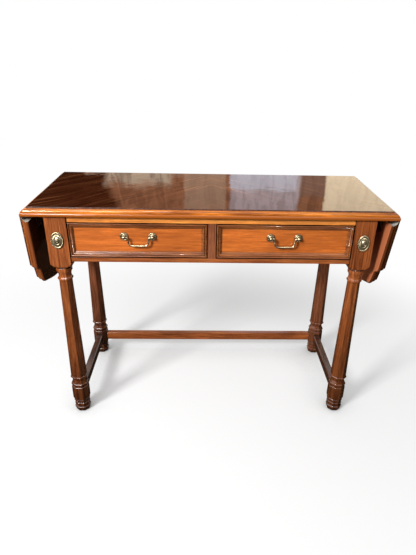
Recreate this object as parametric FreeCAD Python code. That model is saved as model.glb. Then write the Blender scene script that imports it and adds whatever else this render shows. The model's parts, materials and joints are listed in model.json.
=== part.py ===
import FreeCAD, Part
import math
import os

V = FreeCAD.Vector

# Drop-leaf console table, in millimetres. +Z is up, the front faces -Y, the length runs along X, and the
# origin is on the floor under the middle of the top. Both leaves hang and both drawers are shut.

# Top and leaves
HEIGHT = 762.0                # floor to the top's upper face
TOP_THICKNESS = 26.5
TOP_FLAT_LENGTH = 1080.0      # flat of the fixed top, from one hinge line to the other
TOP_FLAT_DEPTH = 434.0        # flat of the top, front to back, without its edge moulding

# Edge moulding of top and leaves, from the flat outwards and down
EDGE_FILLET = 4.5             # square step under the flat, also the step over the rule joint
EDGE_LEDGE = 0.6
EDGE_OVOLO_REACH = 7.4
EDGE_OVOLO_DROP = 11.0
EDGE_QUIRK = 0.6
EDGE_BEAD_REACH = 4.4
OVOLO_FACETS = 4
BEAD_FACETS = 8

# Rule joint between top and leaf
JOINT_RADIUS = 18.0
COVE_CLEARANCE = 0.5
LIP_CLEARANCE = 0.4

# Leaf outline, measured from its outer tip and from the line of the top's front edge
LEAF_REACH = 265.0            # hinge line to the tip of the leaf
LEAF_SHOULDER_BACK = 96.0     # where the full depth ends
LEAF_SHOULDER_RADIUS = 15.0
LEAF_NOTCH_BACK = 83.0
LEAF_NOTCH_INSET = 25.0
LEAF_NOTCH_RADIUS = 3.0
LEAF_HIP_BACK = 37.0
LEAF_HIP_INSET = 35.0
LEAF_HIP_RADIUS = 26.0
LEAF_CROWN_SHARE = 0.278      # where the bow at the tip starts, as a share of the leaf's half width
LEAF_CROWN_EASE = 0.99        # share of the tip that the rounding of the bow takes
OUTLINE_FACETS = 4            # facets on each rounded corner of a leaf
LEAF_LEANS = (                # how far each hanging leaf leans in under the table, in degrees
    ("right", 6.5),
    ("left", 2.5),
)

# Legs
POST_SIZE = 63.0              # square head of each leg
LEG_INSET_X = 47.0            # hinge line to the outer face of the post
LEG_INSET_Y = 9.5             # nose of the front edge to the front face of the post
OCTAGON = math.tan(math.pi / 8) / 2   # half a side of a regular octagon, as a share of its width
RING_EASE = 2.5               # size of the sloped edges of every ring
HEAD_FLAT = 40.0              # flat left between the cut corners under the post
HEAD_CUT_DROP = 8.0           # drops are below the bottom of the aprons
HEAD_CUT_HEIGHT = 9.0
HEAD_RING_WIDTH = 46.0
HEAD_RING_DROP = 26.0
HEAD_RING_HEIGHT = 16.0
NECK_WIDTH = 37.0
NECK_DROP = 50.0
NECK_HEIGHT = 5.0
COLLAR_WIDTH = 45.0
COLLAR_DROP = 60.0
COLLAR_HEIGHT = 10.0
SHAFT_TOP_WIDTH = 38.0
SHAFT_TOP_DROP = 72.0
BLOCK_SIZE = 56.0             # octagonal block that takes the stretchers
BLOCK_BOTTOM = 53.0
BLOCK_HEIGHT = 51.0
SHAFT_FOOT_WIDTH = 50.5
SHAFT_FOOT_RISE = 48.0        # rises are above the block
BASE_RING_WIDTH = 55.0
BASE_RING_RISE = 46.5
BASE_RING_HEIGHT = 9.5
WAIST_TOP_WIDTH = 46.0
WAIST_TOP_RISE = 36.0
WAIST_WIDTH = 42.0
WAIST_RISE = 27.0
WAIST_FOOT_WIDTH = 50.0
BLOCK_RING_WIDTH = 56.0
BLOCK_RING_RISE = 16.5
BLOCK_RING_HEIGHT = 10.5
BLOCK_SEAT_WIDTH = 52.0
BLOCK_SEAT_RISE = 2.0
ANKLE_RING_WIDTH = 51.0
ANKLE_RING_DROP = 3.0         # drops below the block
ANKLE_RING_HEIGHT = 12.0
HEEL_RING_WIDTH = 49.5
HEEL_RING_DROP = 17.5
HEEL_RING_HEIGHT = 13.0
FOOT_TOP_WIDTH = 46.0
FOOT_DROP = 33.0
FOOT_WIDTH = 53.0
FOOT_LEDGE = 3.5              # height of the slope over the foot's widest line
FOOT_BOTTOM_WIDTH = 45.0

# Rails and aprons
RAIL_SETBACK = 4.0            # rails and aprons stand back from the posts' outer faces
APRON_HEIGHT = 144.5
APRON_THICKNESS = 20.0
TOP_RAIL_HEIGHT = 18.5
RAIL_THICKNESS = 22.0
BOTTOM_RAIL_HEIGHT = 14.5
BOTTOM_RAIL_DEPTH = 48.0
DIVIDER_WIDTH = 25.0
TENON_LENGTH = 15.0
TENON_SHOULDER = 3.0
RAIL_TENON = 10.0
BOTTOM_RAIL_TENON = 36.0
APRON_TENON = 8.0
DIVIDER_TENON_LENGTH = 8.0
JOINERY_GAP = 0.1             # all round every tenon, tongue and panel edge

# Stretchers
STRETCHER_HEIGHT = 32.0
STRETCHER_THICKNESS = 24.0
STRETCHER_TENON = 12.0
STRETCHER_BEVEL = 3.0         # on its upper edges
STRETCHER_LIFT = 7.0          # underside above the bottom of the blocks

# Drawer carcass
RUNNER_RISE = 1.5             # runner above the bottom rail
RUNNER_REACH = 20.0           # end runner inside the posts' inner faces
CENTRE_RUNNER_WIDTH = 100.0
GUIDE_HEIGHT = 25.0
GUIDE_GAP = 0.8               # beside a drawer side
SLIDE_GAP = 0.3               # under a drawer side, and before a stop
STOP_SIZE = 20.0
STOP_HEIGHT = 33.0            # stop above the runner
STOP_INSET = 40.0             # stop inside the end of a drawer
DRAWER_REAR_ROOM = 21.5       # drawer back to the back apron

# Drawers
DRAWER_GAP = 2.5              # round a drawer front, at its sides and top
DRAWER_FOOT_GAP = 3.0         # under a drawer front
PANEL_RECESS = 7.0            # drawer panel behind the face of the rails
DRAWER_FRONT_THICKNESS = 17.0
DRAWER_SIDE_THICKNESS = 11.0
DRAWER_BACK_THICKNESS = 12.0
DRAWER_SIDE_DROP = 1.0        # top of a side below the top of the front
DRAWER_BACK_DROP = 5.5        # top of the back below the top of a side
DRAWER_BOTTOM_THICKNESS = 5.0
DRAWER_BOTTOM_LIFT = 6.7      # underside of a side to its groove
GROOVE_DEPTH = 5.5
DOVETAIL_LAP = 11.0           # how far the sides reach into the front
DOVETAIL_COUNT = 3
DOVETAIL_NECK = 20.0
DOVETAIL_SPLAY = 2.0          # each flank of a tail spreads by this much
LAP_GAP = 0.05
CUT_PAST = 1.0                # holes and seats are cut this far past an open face

# Drawer moulding, a mitred frame; each step is a width across it and a depth behind the rails' face
MOULD_WIDTH = 17.0
MOULD_PROUD = 2.0
MOULD_BEAD_WIDTH = 4.2
MOULD_FIRST_DEPTH = 1.0
MOULD_FIRST_FILLET = 1.8
MOULD_OVOLO_WIDTH = 4.5
MOULD_SECOND_DEPTH = 3.5
MOULD_SECOND_FILLET = 1.5
MOULD_FACETS = 4

# Drawer pull
PULL_CENTRES = 85.0
PULL_RISE = 10.5              # pivot above the middle of the drawer front
PULL_PIVOT_OUT = 10.5         # pivot in front of the drawer panel
PULL_BALL_RADIUS = 5.0
PULL_NECK_RADIUS = 2.8
PULL_SHANK_RADIUS = 2.2
PULL_NUT_WIDTH = 8.0
PULL_NUT_THICKNESS = 3.0
PULL_SHANK_END = 1.5          # shank past its nut
ROSETTE_RADIUS = 12.5
ROSETTE_RIM = 2.2             # height of rim and hub
ROSETTE_DISH = 1.0
ROSETTE_ROLL = 3.2            # width of the rolled rim
ROSETTE_HUB_FOOT = 1.0        # width of the step round the hub
ROSETTE_HUB_RADIUS = 4.8
BAIL_WIRE = 4.4
BAIL_PIN_RADIUS = 1.6
BAIL_FIT = 0.08
BAIL_DROP = 26.5
BAIL_NECK_INSET = 10.5        # top of an arm inside the pivot post
BAIL_FOOT_INSET = 13.5        # corner of the bottom bar inside the pivot post
BAIL_NECK_RADIUS = 3.6
BAIL_FOOT_RADIUS = 12.0
BAIL_COLLAR_RADIUS = 3.3
BAIL_COLLAR_WIDTH = 1.6
BAIL_COLLAR_GAP = 0.5         # collar to ball
BAIL_BEAD_RADIUS = 3.5
BAIL_SIDE_BEAD_RADIUS = 2.9
BAIL_SIDE_BEAD_OUT = 6.5
BAIL_ARM_BEAD_DROP = 9.0

# Oval rosettes on the front posts
OVAL_WIDTH = 37.0
OVAL_HEIGHT = 52.0
OVAL_PLATE = 1.6
OVAL_RIM = 3.0
OVAL_RIM_RISE = 1.4
OVAL_DOME_SHARE = 0.6         # dome's share of the oval's width and height
OVAL_DOME_RISE = 4.6
OVAL_DROP = 74.0              # middle of the oval below the underside of the top

# Hinges
HINGE_INSET = 90.0            # middle of a hinge from the nose of the front or back edge
HINGE_WIDTH = 38.0
HINGE_PLATE = 2.0
HINGE_TOP_LENGTH = 40.0
HINGE_LEAF_LENGTH = 62.0
KNUCKLE_RADIUS = 2.9
KNUCKLE_OUTER = 12.5
KNUCKLE_GAP = 0.2
HINGE_PIN_RADIUS = 1.5
HINGE_PIN_FIT = 0.05
HINGE_TAB_START = 4.6         # plates stop this far from the pin, and a tab goes on to the knuckle
GUTTER_OUT = 3.6
GUTTER_RISE = 3.4
GUTTER_RECESS = 2.4
HINGE_SEAT_GAP = 0.15

# Screws
SCREW_RADIUS = 1.9
SCREW_HEAD_RADIUS = 3.6
SCREW_HEAD_DEPTH = 1.7
SCREW_SLOT = 0.9
SCREW_SLOT_DEPTH = 0.6
SCREW_HOLE_GAP = 0.05
SHORT_SCREW = 15.0
TOP_SCREW = 33.0
SCREW_SPREAD = 13.0           # hinge screws each side of the hinge's middle
SCREW_END = 8.5               # from either end of a hinge plate

# Folding stay under each leaf, two flat links with a knee
STAY_STANDOFF = 11.0          # pivots off the apron and off the leaf
STAY_CASE_DROP = 55.0         # case pivot below the hinge line
STAY_LEAF_REACH = 110.0       # leaf pivot from the hinge line
STAY_LONG_LINK = 104.2
STAY_OPEN_ANGLE = 160.0       # at the knee when the leaf is up
STAY_WIDTH = 14.0
STAY_THICKNESS = 3.0
STAY_HALF_GAP = 0.2
STAY_EAR_GAP = 0.4
STAY_RIVET_RADIUS = 2.5
STAY_RIVET_FIT = 0.05
STAY_HEAD_RADIUS = 4.5
STAY_HEAD_HEIGHT = 1.2
STAY_BASE_WIDTH = 24.0
STAY_BASE_LENGTH = 38.0
STAY_SCREW_SPREAD = 12.5

# Buttons that hold the top to the back apron
BUTTON_WIDTH = 30.0
BUTTON_REACH = 28.0
BUTTON_TONGUE = 7.0
BUTTON_NEAR = 150.0           # buttons from the middle of the table
BUTTON_FAR = 300.0
TOP_SCREW_FRONT = 60.0        # screws through the kickers, before and behind the middle
TOP_SCREW_BACK = 90.0
RAIL_SCREW_STATION = 215.0

# Planes and lines that follow from the sizes above
EDGE_REACH = EDGE_LEDGE + EDGE_OVOLO_REACH + EDGE_QUIRK + EDGE_BEAD_REACH
UNDERSIDE = HEIGHT - TOP_THICKNESS
HINGE_X = TOP_FLAT_LENGTH / 2
HINGE_Z = HEIGHT - EDGE_FILLET - JOINT_RADIUS
NOSE_Y = TOP_FLAT_DEPTH / 2 + EDGE_REACH
POST_OUTER_X = HINGE_X - LEG_INSET_X
POST_INNER_X = POST_OUTER_X - POST_SIZE
LEG_X = POST_OUTER_X - POST_SIZE / 2
POST_OUTER_Y = NOSE_Y - LEG_INSET_Y
POST_INNER_Y = POST_OUTER_Y - POST_SIZE
LEG_Y = POST_OUTER_Y - POST_SIZE / 2
HINGE_STATIONS = (HINGE_INSET - NOSE_Y, NOSE_Y - HINGE_INSET)
BUTTON_STATIONS = (-BUTTON_FAR, -BUTTON_NEAR, BUTTON_NEAR, BUTTON_FAR)
APRON_FACE_X = POST_OUTER_X - RAIL_SETBACK
APRON_INNER_X = APRON_FACE_X - APRON_THICKNESS
FACE_Y = -(POST_OUTER_Y - RAIL_SETBACK)
BACK_APRON_INNER = POST_OUTER_Y - RAIL_SETBACK - APRON_THICKNESS
CASE_BOTTOM = UNDERSIDE - APRON_HEIGHT
BOTTOM_RAIL_TOP = CASE_BOTTOM + BOTTOM_RAIL_HEIGHT
BOTTOM_RAIL_BACK = FACE_Y + BOTTOM_RAIL_DEPTH
TOP_RAIL_BOTTOM = UNDERSIDE - TOP_RAIL_HEIGHT
TOP_RAIL_BACK = FACE_Y + RAIL_THICKNESS
RUNNER_TOP = BOTTOM_RAIL_TOP + RUNNER_RISE

DRAWER_INNER_END = DIVIDER_WIDTH / 2 + DRAWER_GAP
DRAWER_OUTER_END = POST_INNER_X - DRAWER_GAP
DRAWER_MIDDLE = (DRAWER_INNER_END + DRAWER_OUTER_END) / 2
FRONT_BOTTOM = BOTTOM_RAIL_TOP + DRAWER_FOOT_GAP
FRONT_TOP = TOP_RAIL_BOTTOM - DRAWER_GAP
PANEL_Y = FACE_Y + PANEL_RECESS
FRONT_BACK_Y = PANEL_Y + DRAWER_FRONT_THICKNESS
DRAWER_REAR_Y = BACK_APRON_INNER - DRAWER_REAR_ROOM
SIDE_BOTTOM = RUNNER_TOP + SLIDE_GAP
SIDE_TOP = FRONT_TOP - DRAWER_SIDE_DROP
PANEL_BOTTOM = SIDE_BOTTOM + DRAWER_BOTTOM_LIFT
PANEL_TOP = PANEL_BOTTOM + DRAWER_BOTTOM_THICKNESS

PULL_Y = PANEL_Y - PULL_PIVOT_OUT
PULL_Z = (FRONT_BOTTOM + FRONT_TOP) / 2 + PULL_RISE

HINGE_AXIS = V(HINGE_X, 0, HINGE_Z)
PLUMB = 90.0                  # turn of a leaf from raised to upright
LEAF_UNDER = UNDERSIDE        # a raised leaf lies level with the top


def block(x0, x1, y0, y1, z0, z1):
    """Solid box between two corners."""
    return Part.makeBox(x1 - x0, y1 - y0, z1 - z0, V(x0, y0, z0))


def roomy(limits, gap=JOINERY_GAP):
    """Box a little larger all round than the one with these limits."""
    x0, x1, y0, y1, z0, z1 = limits
    return block(x0 - gap, x1 + gap, y0 - gap, y1 + gap, z0 - gap, z1 + gap)


def rod(radius, start, end):
    """Round bar between two points."""
    return Part.makeCylinder(radius, (end - start).Length, start, end - start)


def fused(pieces):
    """One solid from pieces that meet."""
    return pieces[0].fuse(pieces[1:]).removeSplitter()


def mirrored(shape):
    """The left-hand twin of a right-hand piece."""
    return shape.mirror(V(0, 0, 0), V(1, 0, 0))


def skinned(rings):
    """Solid skinned over rings of points, with as many points in each; points may coincide."""
    count = len(rings[0])
    faces = [Part.Face(Part.makePolygon(ring + ring[:1])) for ring in (rings[0], rings[-1])]
    for low, high in zip(rings, rings[1:]):
        for i in range(count):
            j = (i + 1) % count
            corners = []
            for point in (low[i], low[j], high[j], high[i]):
                if all((point - other).Length > 1e-6 for other in corners):
                    corners.append(point)
            if len(corners) > 2:
                faces.append(Part.Face(Part.makePolygon(corners + corners[:1])))
    shell = Part.Shell(faces)
    shell.sewShape()
    solid = Part.Solid(shell)
    if solid.Volume < 0:
        solid.reverse()
    return solid.removeSplitter()


def prism(outline, direction):
    """Solid from a closed outline of points, pushed along a direction."""
    return Part.Face(Part.makePolygon(outline + outline[:1])).extrude(direction)


def quarter(start, end, facets, rounding):
    """Points along a quarter ellipse; rounding 'convex' leaves level, 'hollow' leaves steep."""
    points = []
    for i in range(1, facets + 1):
        turn = math.pi / 2 * i / facets
        if rounding == "convex":
            share = (math.sin(turn), 1 - math.cos(turn))
        else:
            share = (1 - math.cos(turn), math.sin(turn))
        points.append((start[0] + (end[0] - start[0]) * share[0], start[1] + (end[1] - start[1]) * share[1]))
    return points


def edge_profile():
    """Edge moulding as points of reach outwards and drop from the flat."""
    ledge = (EDGE_LEDGE, EDGE_FILLET)
    ovolo_end = (EDGE_LEDGE + EDGE_OVOLO_REACH, EDGE_FILLET + EDGE_OVOLO_DROP)
    points = [(0.0, 0.0), (0.0, EDGE_FILLET), ledge]
    points += quarter(ledge, ovolo_end, OVOLO_FACETS, "convex")
    bead_x = ovolo_end[0] + EDGE_QUIRK
    bead_radius = (TOP_THICKNESS - ovolo_end[1]) / 2
    for i in range(BEAD_FACETS + 1):
        turn = math.pi * i / BEAD_FACETS
        reach = bead_x + EDGE_BEAD_REACH * math.sin(turn)
        drop = ovolo_end[1] + bead_radius * (1 - math.cos(turn))
        points.append((reach, drop))
    return points


def hinge_cuts():
    """Seats in the right end of the top's underside for plates and knuckles."""
    cuts = []
    for middle in HINGE_STATIONS:
        y0 = middle - HINGE_WIDTH / 2 - HINGE_SEAT_GAP
        y1 = middle + HINGE_WIDTH / 2 + HINGE_SEAT_GAP
        gutter_in = HINGE_X - HINGE_TAB_START
        gutter_out = HINGE_X + GUTTER_OUT
        plate_in = HINGE_X - HINGE_TOP_LENGTH - HINGE_SEAT_GAP
        nose = HINGE_X + JOINT_RADIUS + CUT_PAST
        cuts.append(block(plate_in, gutter_in, y0, y1, UNDERSIDE, UNDERSIDE + HINGE_PLATE))
        cuts.append(block(gutter_in, gutter_out, y0, y1, UNDERSIDE, HINGE_Z + GUTTER_RISE))
        cuts.append(block(gutter_out, nose, y0, y1, UNDERSIDE, UNDERSIDE + GUTTER_RECESS))
    return cuts


def screw(head, direction, length, gap=0.0):
    """Countersunk wood screw whose head is flush at the given point; with a gap, the hole for it."""
    radius = SCREW_RADIUS + gap
    head_radius = SCREW_HEAD_RADIUS + gap
    tip = head + direction * (length + gap)
    shank = rod(radius, head, tip)
    cone = Part.makeCone(head_radius, radius, SCREW_HEAD_DEPTH + gap, head, direction)
    body = fused([shank, cone])
    if gap == 0.0:
        across = V(0, 1, 0)
        side = across.cross(direction)
        slot = Part.makeBox(2 * SCREW_HEAD_RADIUS, SCREW_SLOT, SCREW_SLOT_DEPTH)
        slot.translate(V(-SCREW_HEAD_RADIUS, -SCREW_SLOT / 2, 0))
        frame = FreeCAD.Rotation(across, side, direction, "ZXY")
        slot.Placement = FreeCAD.Placement(head, frame).multiply(slot.Placement)
        body = body.cut(slot)
    return body


def screw_holes(places, length):
    """Holes for a set of screws given as head points and directions."""
    return [screw(head, direction, length, SCREW_HOLE_GAP) for head, direction in places]


def top_hinge_screw_places():
    """Screws of the right-hand hinges' top plates."""
    inner = HINGE_X - HINGE_TOP_LENGTH
    near = HINGE_X - HINGE_TAB_START
    places = []
    for middle in HINGE_STATIONS:
        places.append((V(inner + SCREW_END, middle - SCREW_SPREAD, UNDERSIDE), V(0, 0, 1)))
        places.append((V(inner + SCREW_END, middle + SCREW_SPREAD, UNDERSIDE), V(0, 0, 1)))
        places.append((V(near - SCREW_END, middle, UNDERSIDE), V(0, 0, 1)))
    return places


def leaf_hinge_screw_places():
    """Screws of the right-hand hinges' leaf plates, with the leaf raised."""
    far = HINGE_X + HINGE_LEAF_LENGTH
    near = HINGE_X + JOINT_RADIUS + COVE_CLEARANCE
    places = []
    for middle in HINGE_STATIONS:
        places.append((V(far - SCREW_END, middle - SCREW_SPREAD, LEAF_UNDER), V(0, 0, 1)))
        places.append((V(far - SCREW_END, middle + SCREW_SPREAD, LEAF_UNDER), V(0, 0, 1)))
        places.append((V(near + SCREW_END, middle, LEAF_UNDER), V(0, 0, 1)))
    return places


def top_screw_places():
    """Screws that come up through rails, kickers and buttons into the top."""
    end_kicker_x = (POST_INNER_X - RUNNER_REACH + APRON_INNER_X) / 2
    places = []
    for x in (-end_kicker_x, 0.0, end_kicker_x):
        places += [V(x, y, TOP_RAIL_BOTTOM) for y in (-TOP_SCREW_FRONT, TOP_SCREW_BACK)]
    rail_middle = (FACE_Y + TOP_RAIL_BACK) / 2
    places += [V(x, rail_middle, TOP_RAIL_BOTTOM) for x in (-RAIL_SCREW_STATION, RAIL_SCREW_STATION)]
    button_y = BACK_APRON_INNER - BUTTON_REACH / 2
    places += [V(x, button_y, TOP_RAIL_BOTTOM) for x in BUTTON_STATIONS]
    return [(point, V(0, 0, 1)) for point in places]


def top_board():
    """Fixed top: moulded front and back edges, and the convex half of a rule joint at each end."""
    profile = edge_profile()
    half_y = TOP_FLAT_DEPTH / 2
    reach_x = HINGE_X + JOINT_RADIUS
    front = [V(-reach_x, -half_y - reach, HEIGHT - drop) for reach, drop in profile]
    back = [V(-reach_x, half_y + reach, HEIGHT - drop) for reach, drop in reversed(profile)]
    moulded = prism(front + back, V(2 * reach_x, 0, 0))

    start = V(HINGE_X, -NOSE_Y, HINGE_Z + JOINT_RADIUS)
    end = V(HINGE_X + JOINT_RADIUS, -NOSE_Y, HINGE_Z)
    slant = JOINT_RADIUS * math.sqrt(0.5)
    middle = V(HINGE_X + slant, -NOSE_Y, HINGE_Z + slant)
    foot = V(reach_x, -NOSE_Y, UNDERSIDE)
    upper = V(HINGE_X, -NOSE_Y, HEIGHT)
    twin = [V(-p.x, p.y, p.z) for p in (start, middle, end, foot, upper)]
    edges = [
        Part.LineSegment(twin[4], upper),
        Part.LineSegment(upper, start),
        Part.Arc(start, middle, end),
        Part.LineSegment(end, foot),
        Part.LineSegment(foot, twin[3]),
        Part.LineSegment(twin[3], twin[2]),
        Part.Arc(twin[2], twin[1], twin[0]),
        Part.LineSegment(twin[0], twin[4]),
    ]
    wire = Part.Wire([edge.toShape() for edge in edges])
    ended = Part.Face(wire).extrude(V(0, 2 * NOSE_Y, 0))
    board = moulded.common(ended)
    cuts = hinge_cuts() + screw_holes(top_hinge_screw_places(), SHORT_SCREW)
    cuts += [mirrored(cut) for cut in cuts]
    cuts += screw_holes(top_screw_places(), TOP_SCREW)
    return board.cut(cuts)


def leaf_corners():
    """Outer nose line of a raised leaf as corners with radii, from the hinge side round to the hinge side."""
    tip = LEAF_REACH
    crown = NOSE_Y * LEAF_CROWN_SHARE
    bow = math.atan2(LEAF_HIP_BACK, NOSE_Y - LEAF_HIP_INSET - crown)
    crown_radius = LEAF_CROWN_EASE * crown / math.tan(bow / 2)
    front = [
        (-EDGE_REACH - LIP_CLEARANCE, NOSE_Y, 0.0),
        (tip - LEAF_SHOULDER_BACK, NOSE_Y, LEAF_SHOULDER_RADIUS),
        (tip - LEAF_NOTCH_BACK, NOSE_Y - LEAF_NOTCH_INSET, LEAF_NOTCH_RADIUS),
        (tip - LEAF_HIP_BACK, NOSE_Y - LEAF_HIP_INSET, LEAF_HIP_RADIUS),
        (tip, crown, crown_radius),
    ]
    lower = [(u, -v, radius) for u, v, radius in front]
    upper = [(u, v, radius) for u, v, radius in reversed(front)]
    return lower + upper


def inset_outline(inset):
    """Leaf outline moved inwards by inset, as points with rounded corners."""
    corners = leaf_corners()
    count = len(corners)
    sides = []
    for i in range(count):
        u0, v0, _ = corners[i]
        u1, v1, _ = corners[(i + 1) % count]
        length = math.hypot(u1 - u0, v1 - v0)
        along = ((u1 - u0) / length, (v1 - v0) / length)
        normal = (-along[1], along[0])
        sides.append((u0 + normal[0] * inset, v0 + normal[1] * inset, along))
    points = []
    for i in range(count):
        before = sides[i - 1]
        after = sides[i]
        cross = before[2][0] * after[2][1] - before[2][1] * after[2][0]
        gap = (after[0] - before[0], after[1] - before[1])
        run = (gap[0] * after[2][1] - gap[1] * after[2][0]) / cross
        corner = (before[0] + before[2][0] * run, before[1] + before[2][1] * run)
        sharp = corners[i][2] == 0.0
        if sharp:
            points.append(corner)
            continue
        turn = math.asin(cross)
        radius = corners[i][2] - inset if turn > 0 else corners[i][2] + inset
        back = radius * math.tan(abs(turn) / 2)
        start = (corner[0] - before[2][0] * back, corner[1] - before[2][1] * back)
        side = 1.0 if turn > 0 else -1.0
        centre = (start[0] - before[2][1] * radius * side, start[1] + before[2][0] * radius * side)
        for k in range(OUTLINE_FACETS + 1):
            angle = turn * k / OUTLINE_FACETS
            arm = (start[0] - centre[0], start[1] - centre[1])
            u = centre[0] + arm[0] * math.cos(angle) - arm[1] * math.sin(angle)
            v = centre[1] + arm[0] * math.sin(angle) + arm[1] * math.cos(angle)
            points.append((u, v))
    return points


def swung(shape, angle):
    """A right-hand leaf piece turned down round the hinge line."""
    turned = shape.copy()
    turned.rotate(HINGE_AXIS, V(0, 1, 0), angle)
    return turned


def swung_point(point, angle):
    """A point of the right leaf turned down round the hinge line."""
    return HINGE_AXIS + FreeCAD.Rotation(V(0, 1, 0), angle).multVec(point - HINGE_AXIS)


def leaf():
    """Right leaf with moulded edge and the hollow half of the rule joint, raised."""
    rings = []
    for reach, drop in edge_profile():
        outline = inset_outline(EDGE_REACH - reach)
        rings.append([V(HINGE_X + u, v, HEIGHT - drop) for u, v in outline])
    board = skinned(rings)
    cove = JOINT_RADIUS + COVE_CLEARANCE
    wide = 2 * NOSE_Y
    barrel = rod(cove, V(HINGE_X, -NOSE_Y, HINGE_Z), V(HINGE_X, NOSE_Y, HINGE_Z))
    inboard = Part.makeBox(cove + LIP_CLEARANCE, wide, HEIGHT, V(HINGE_X - cove, -NOSE_Y, 0))
    under = Part.makeBox(cove, wide, HINGE_Z, V(HINGE_X, -NOSE_Y, 0))
    cuts = [barrel, inboard, under]
    for middle in HINGE_STATIONS:
        y0 = middle - HINGE_WIDTH / 2 - HINGE_SEAT_GAP
        y1 = middle + HINGE_WIDTH / 2 + HINGE_SEAT_GAP
        far = HINGE_X + HINGE_LEAF_LENGTH + HINGE_SEAT_GAP
        cuts.append(block(HINGE_X, far, y0, y1, LEAF_UNDER, LEAF_UNDER + HINGE_PLATE))
    cuts += screw_holes(leaf_hinge_screw_places(), SHORT_SCREW)
    cuts += screw_holes(stay_leaf_screw_places(), SHORT_SCREW)
    return board.cut(cuts)


def knuckle(y0, y1):
    """One knuckle of a hinge with the bore for its pin."""
    ring = rod(KNUCKLE_RADIUS, V(HINGE_X, y0, HINGE_Z), V(HINGE_X, y1, HINGE_Z))
    return ring, rod(HINGE_PIN_RADIUS + HINGE_PIN_FIT, V(HINGE_X, y0, HINGE_Z), V(HINGE_X, y1, HINGE_Z))


def hinge_half(middle, outward, spans, far, places):
    """One plate of a hinge with its knuckles; outward is +1 for the leaf's side and -1 for the top's."""
    y0 = middle - HINGE_WIDTH / 2
    near = HINGE_X + outward * HINGE_TAB_START
    x0, x1 = sorted((near, HINGE_X + outward * far))
    plate = block(x0, x1, y0, y0 + HINGE_WIDTH, UNDERSIDE, UNDERSIDE + HINGE_PLATE)
    pieces = [plate]
    bores = []
    tab_top = HINGE_Z - HINGE_PIN_RADIUS - 4 * HINGE_PIN_FIT
    for start, end in spans:
        ring, bore = knuckle(y0 + start, y0 + end)
        t0, t1 = sorted((HINGE_X, near))
        pieces.append(block(t0, t1, y0 + start, y0 + end, HINGE_Z - KNUCKLE_RADIUS, tab_top))
        pieces.append(ring)
        bores.append(bore)
    holes = [hole for hole in screw_holes(places, SHORT_SCREW)]
    return fused(pieces).cut(bores + holes)


def knuckle_spans():
    """Outer knuckles of the top's plate, and the middle one of the leaf's plate."""
    outer = [(0.0, KNUCKLE_OUTER), (HINGE_WIDTH - KNUCKLE_OUTER, HINGE_WIDTH)]
    inner = [(KNUCKLE_OUTER + KNUCKLE_GAP, HINGE_WIDTH - KNUCKLE_OUTER - KNUCKLE_GAP)]
    return outer, inner


def hinge_top_plates():
    outer, _ = knuckle_spans()
    places = top_hinge_screw_places()
    return [hinge_half(middle, -1, outer, HINGE_TOP_LENGTH, places) for middle in HINGE_STATIONS]


def hinge_leaf_plates():
    _, inner = knuckle_spans()
    places = leaf_hinge_screw_places()
    return [hinge_half(middle, 1, inner, HINGE_LEAF_LENGTH, places) for middle in HINGE_STATIONS]


def hinge_pins():
    pins = []
    for middle in HINGE_STATIONS:
        y0 = middle - HINGE_WIDTH / 2
        pins.append(rod(HINGE_PIN_RADIUS, V(HINGE_X, y0, HINGE_Z), V(HINGE_X, y0 + HINGE_WIDTH, HINGE_Z)))
    return pins + [mirrored(pin) for pin in pins]


def octagon(width, z, flat=None):
    """Octagonal ring of a leg at a height; flat is the length of its front and side flats."""
    half = width / 2
    run = flat / 2 if flat is not None else width * OCTAGON
    corners = [(half, run), (run, half), (-run, half), (-half, run)]
    corners += [(-half, -run), (-run, -half), (run, -half), (half, -run)]
    return [V(x, y, z) for x, y in corners]


def ring(width, top, height):
    """Widths and heights of a ring with sloped edges, from its top down."""
    ease = RING_EASE
    bottom = top - height
    narrow = width - 2 * ease
    return [(narrow, top), (width, top - ease), (width, bottom + ease), (narrow, bottom)]


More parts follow.
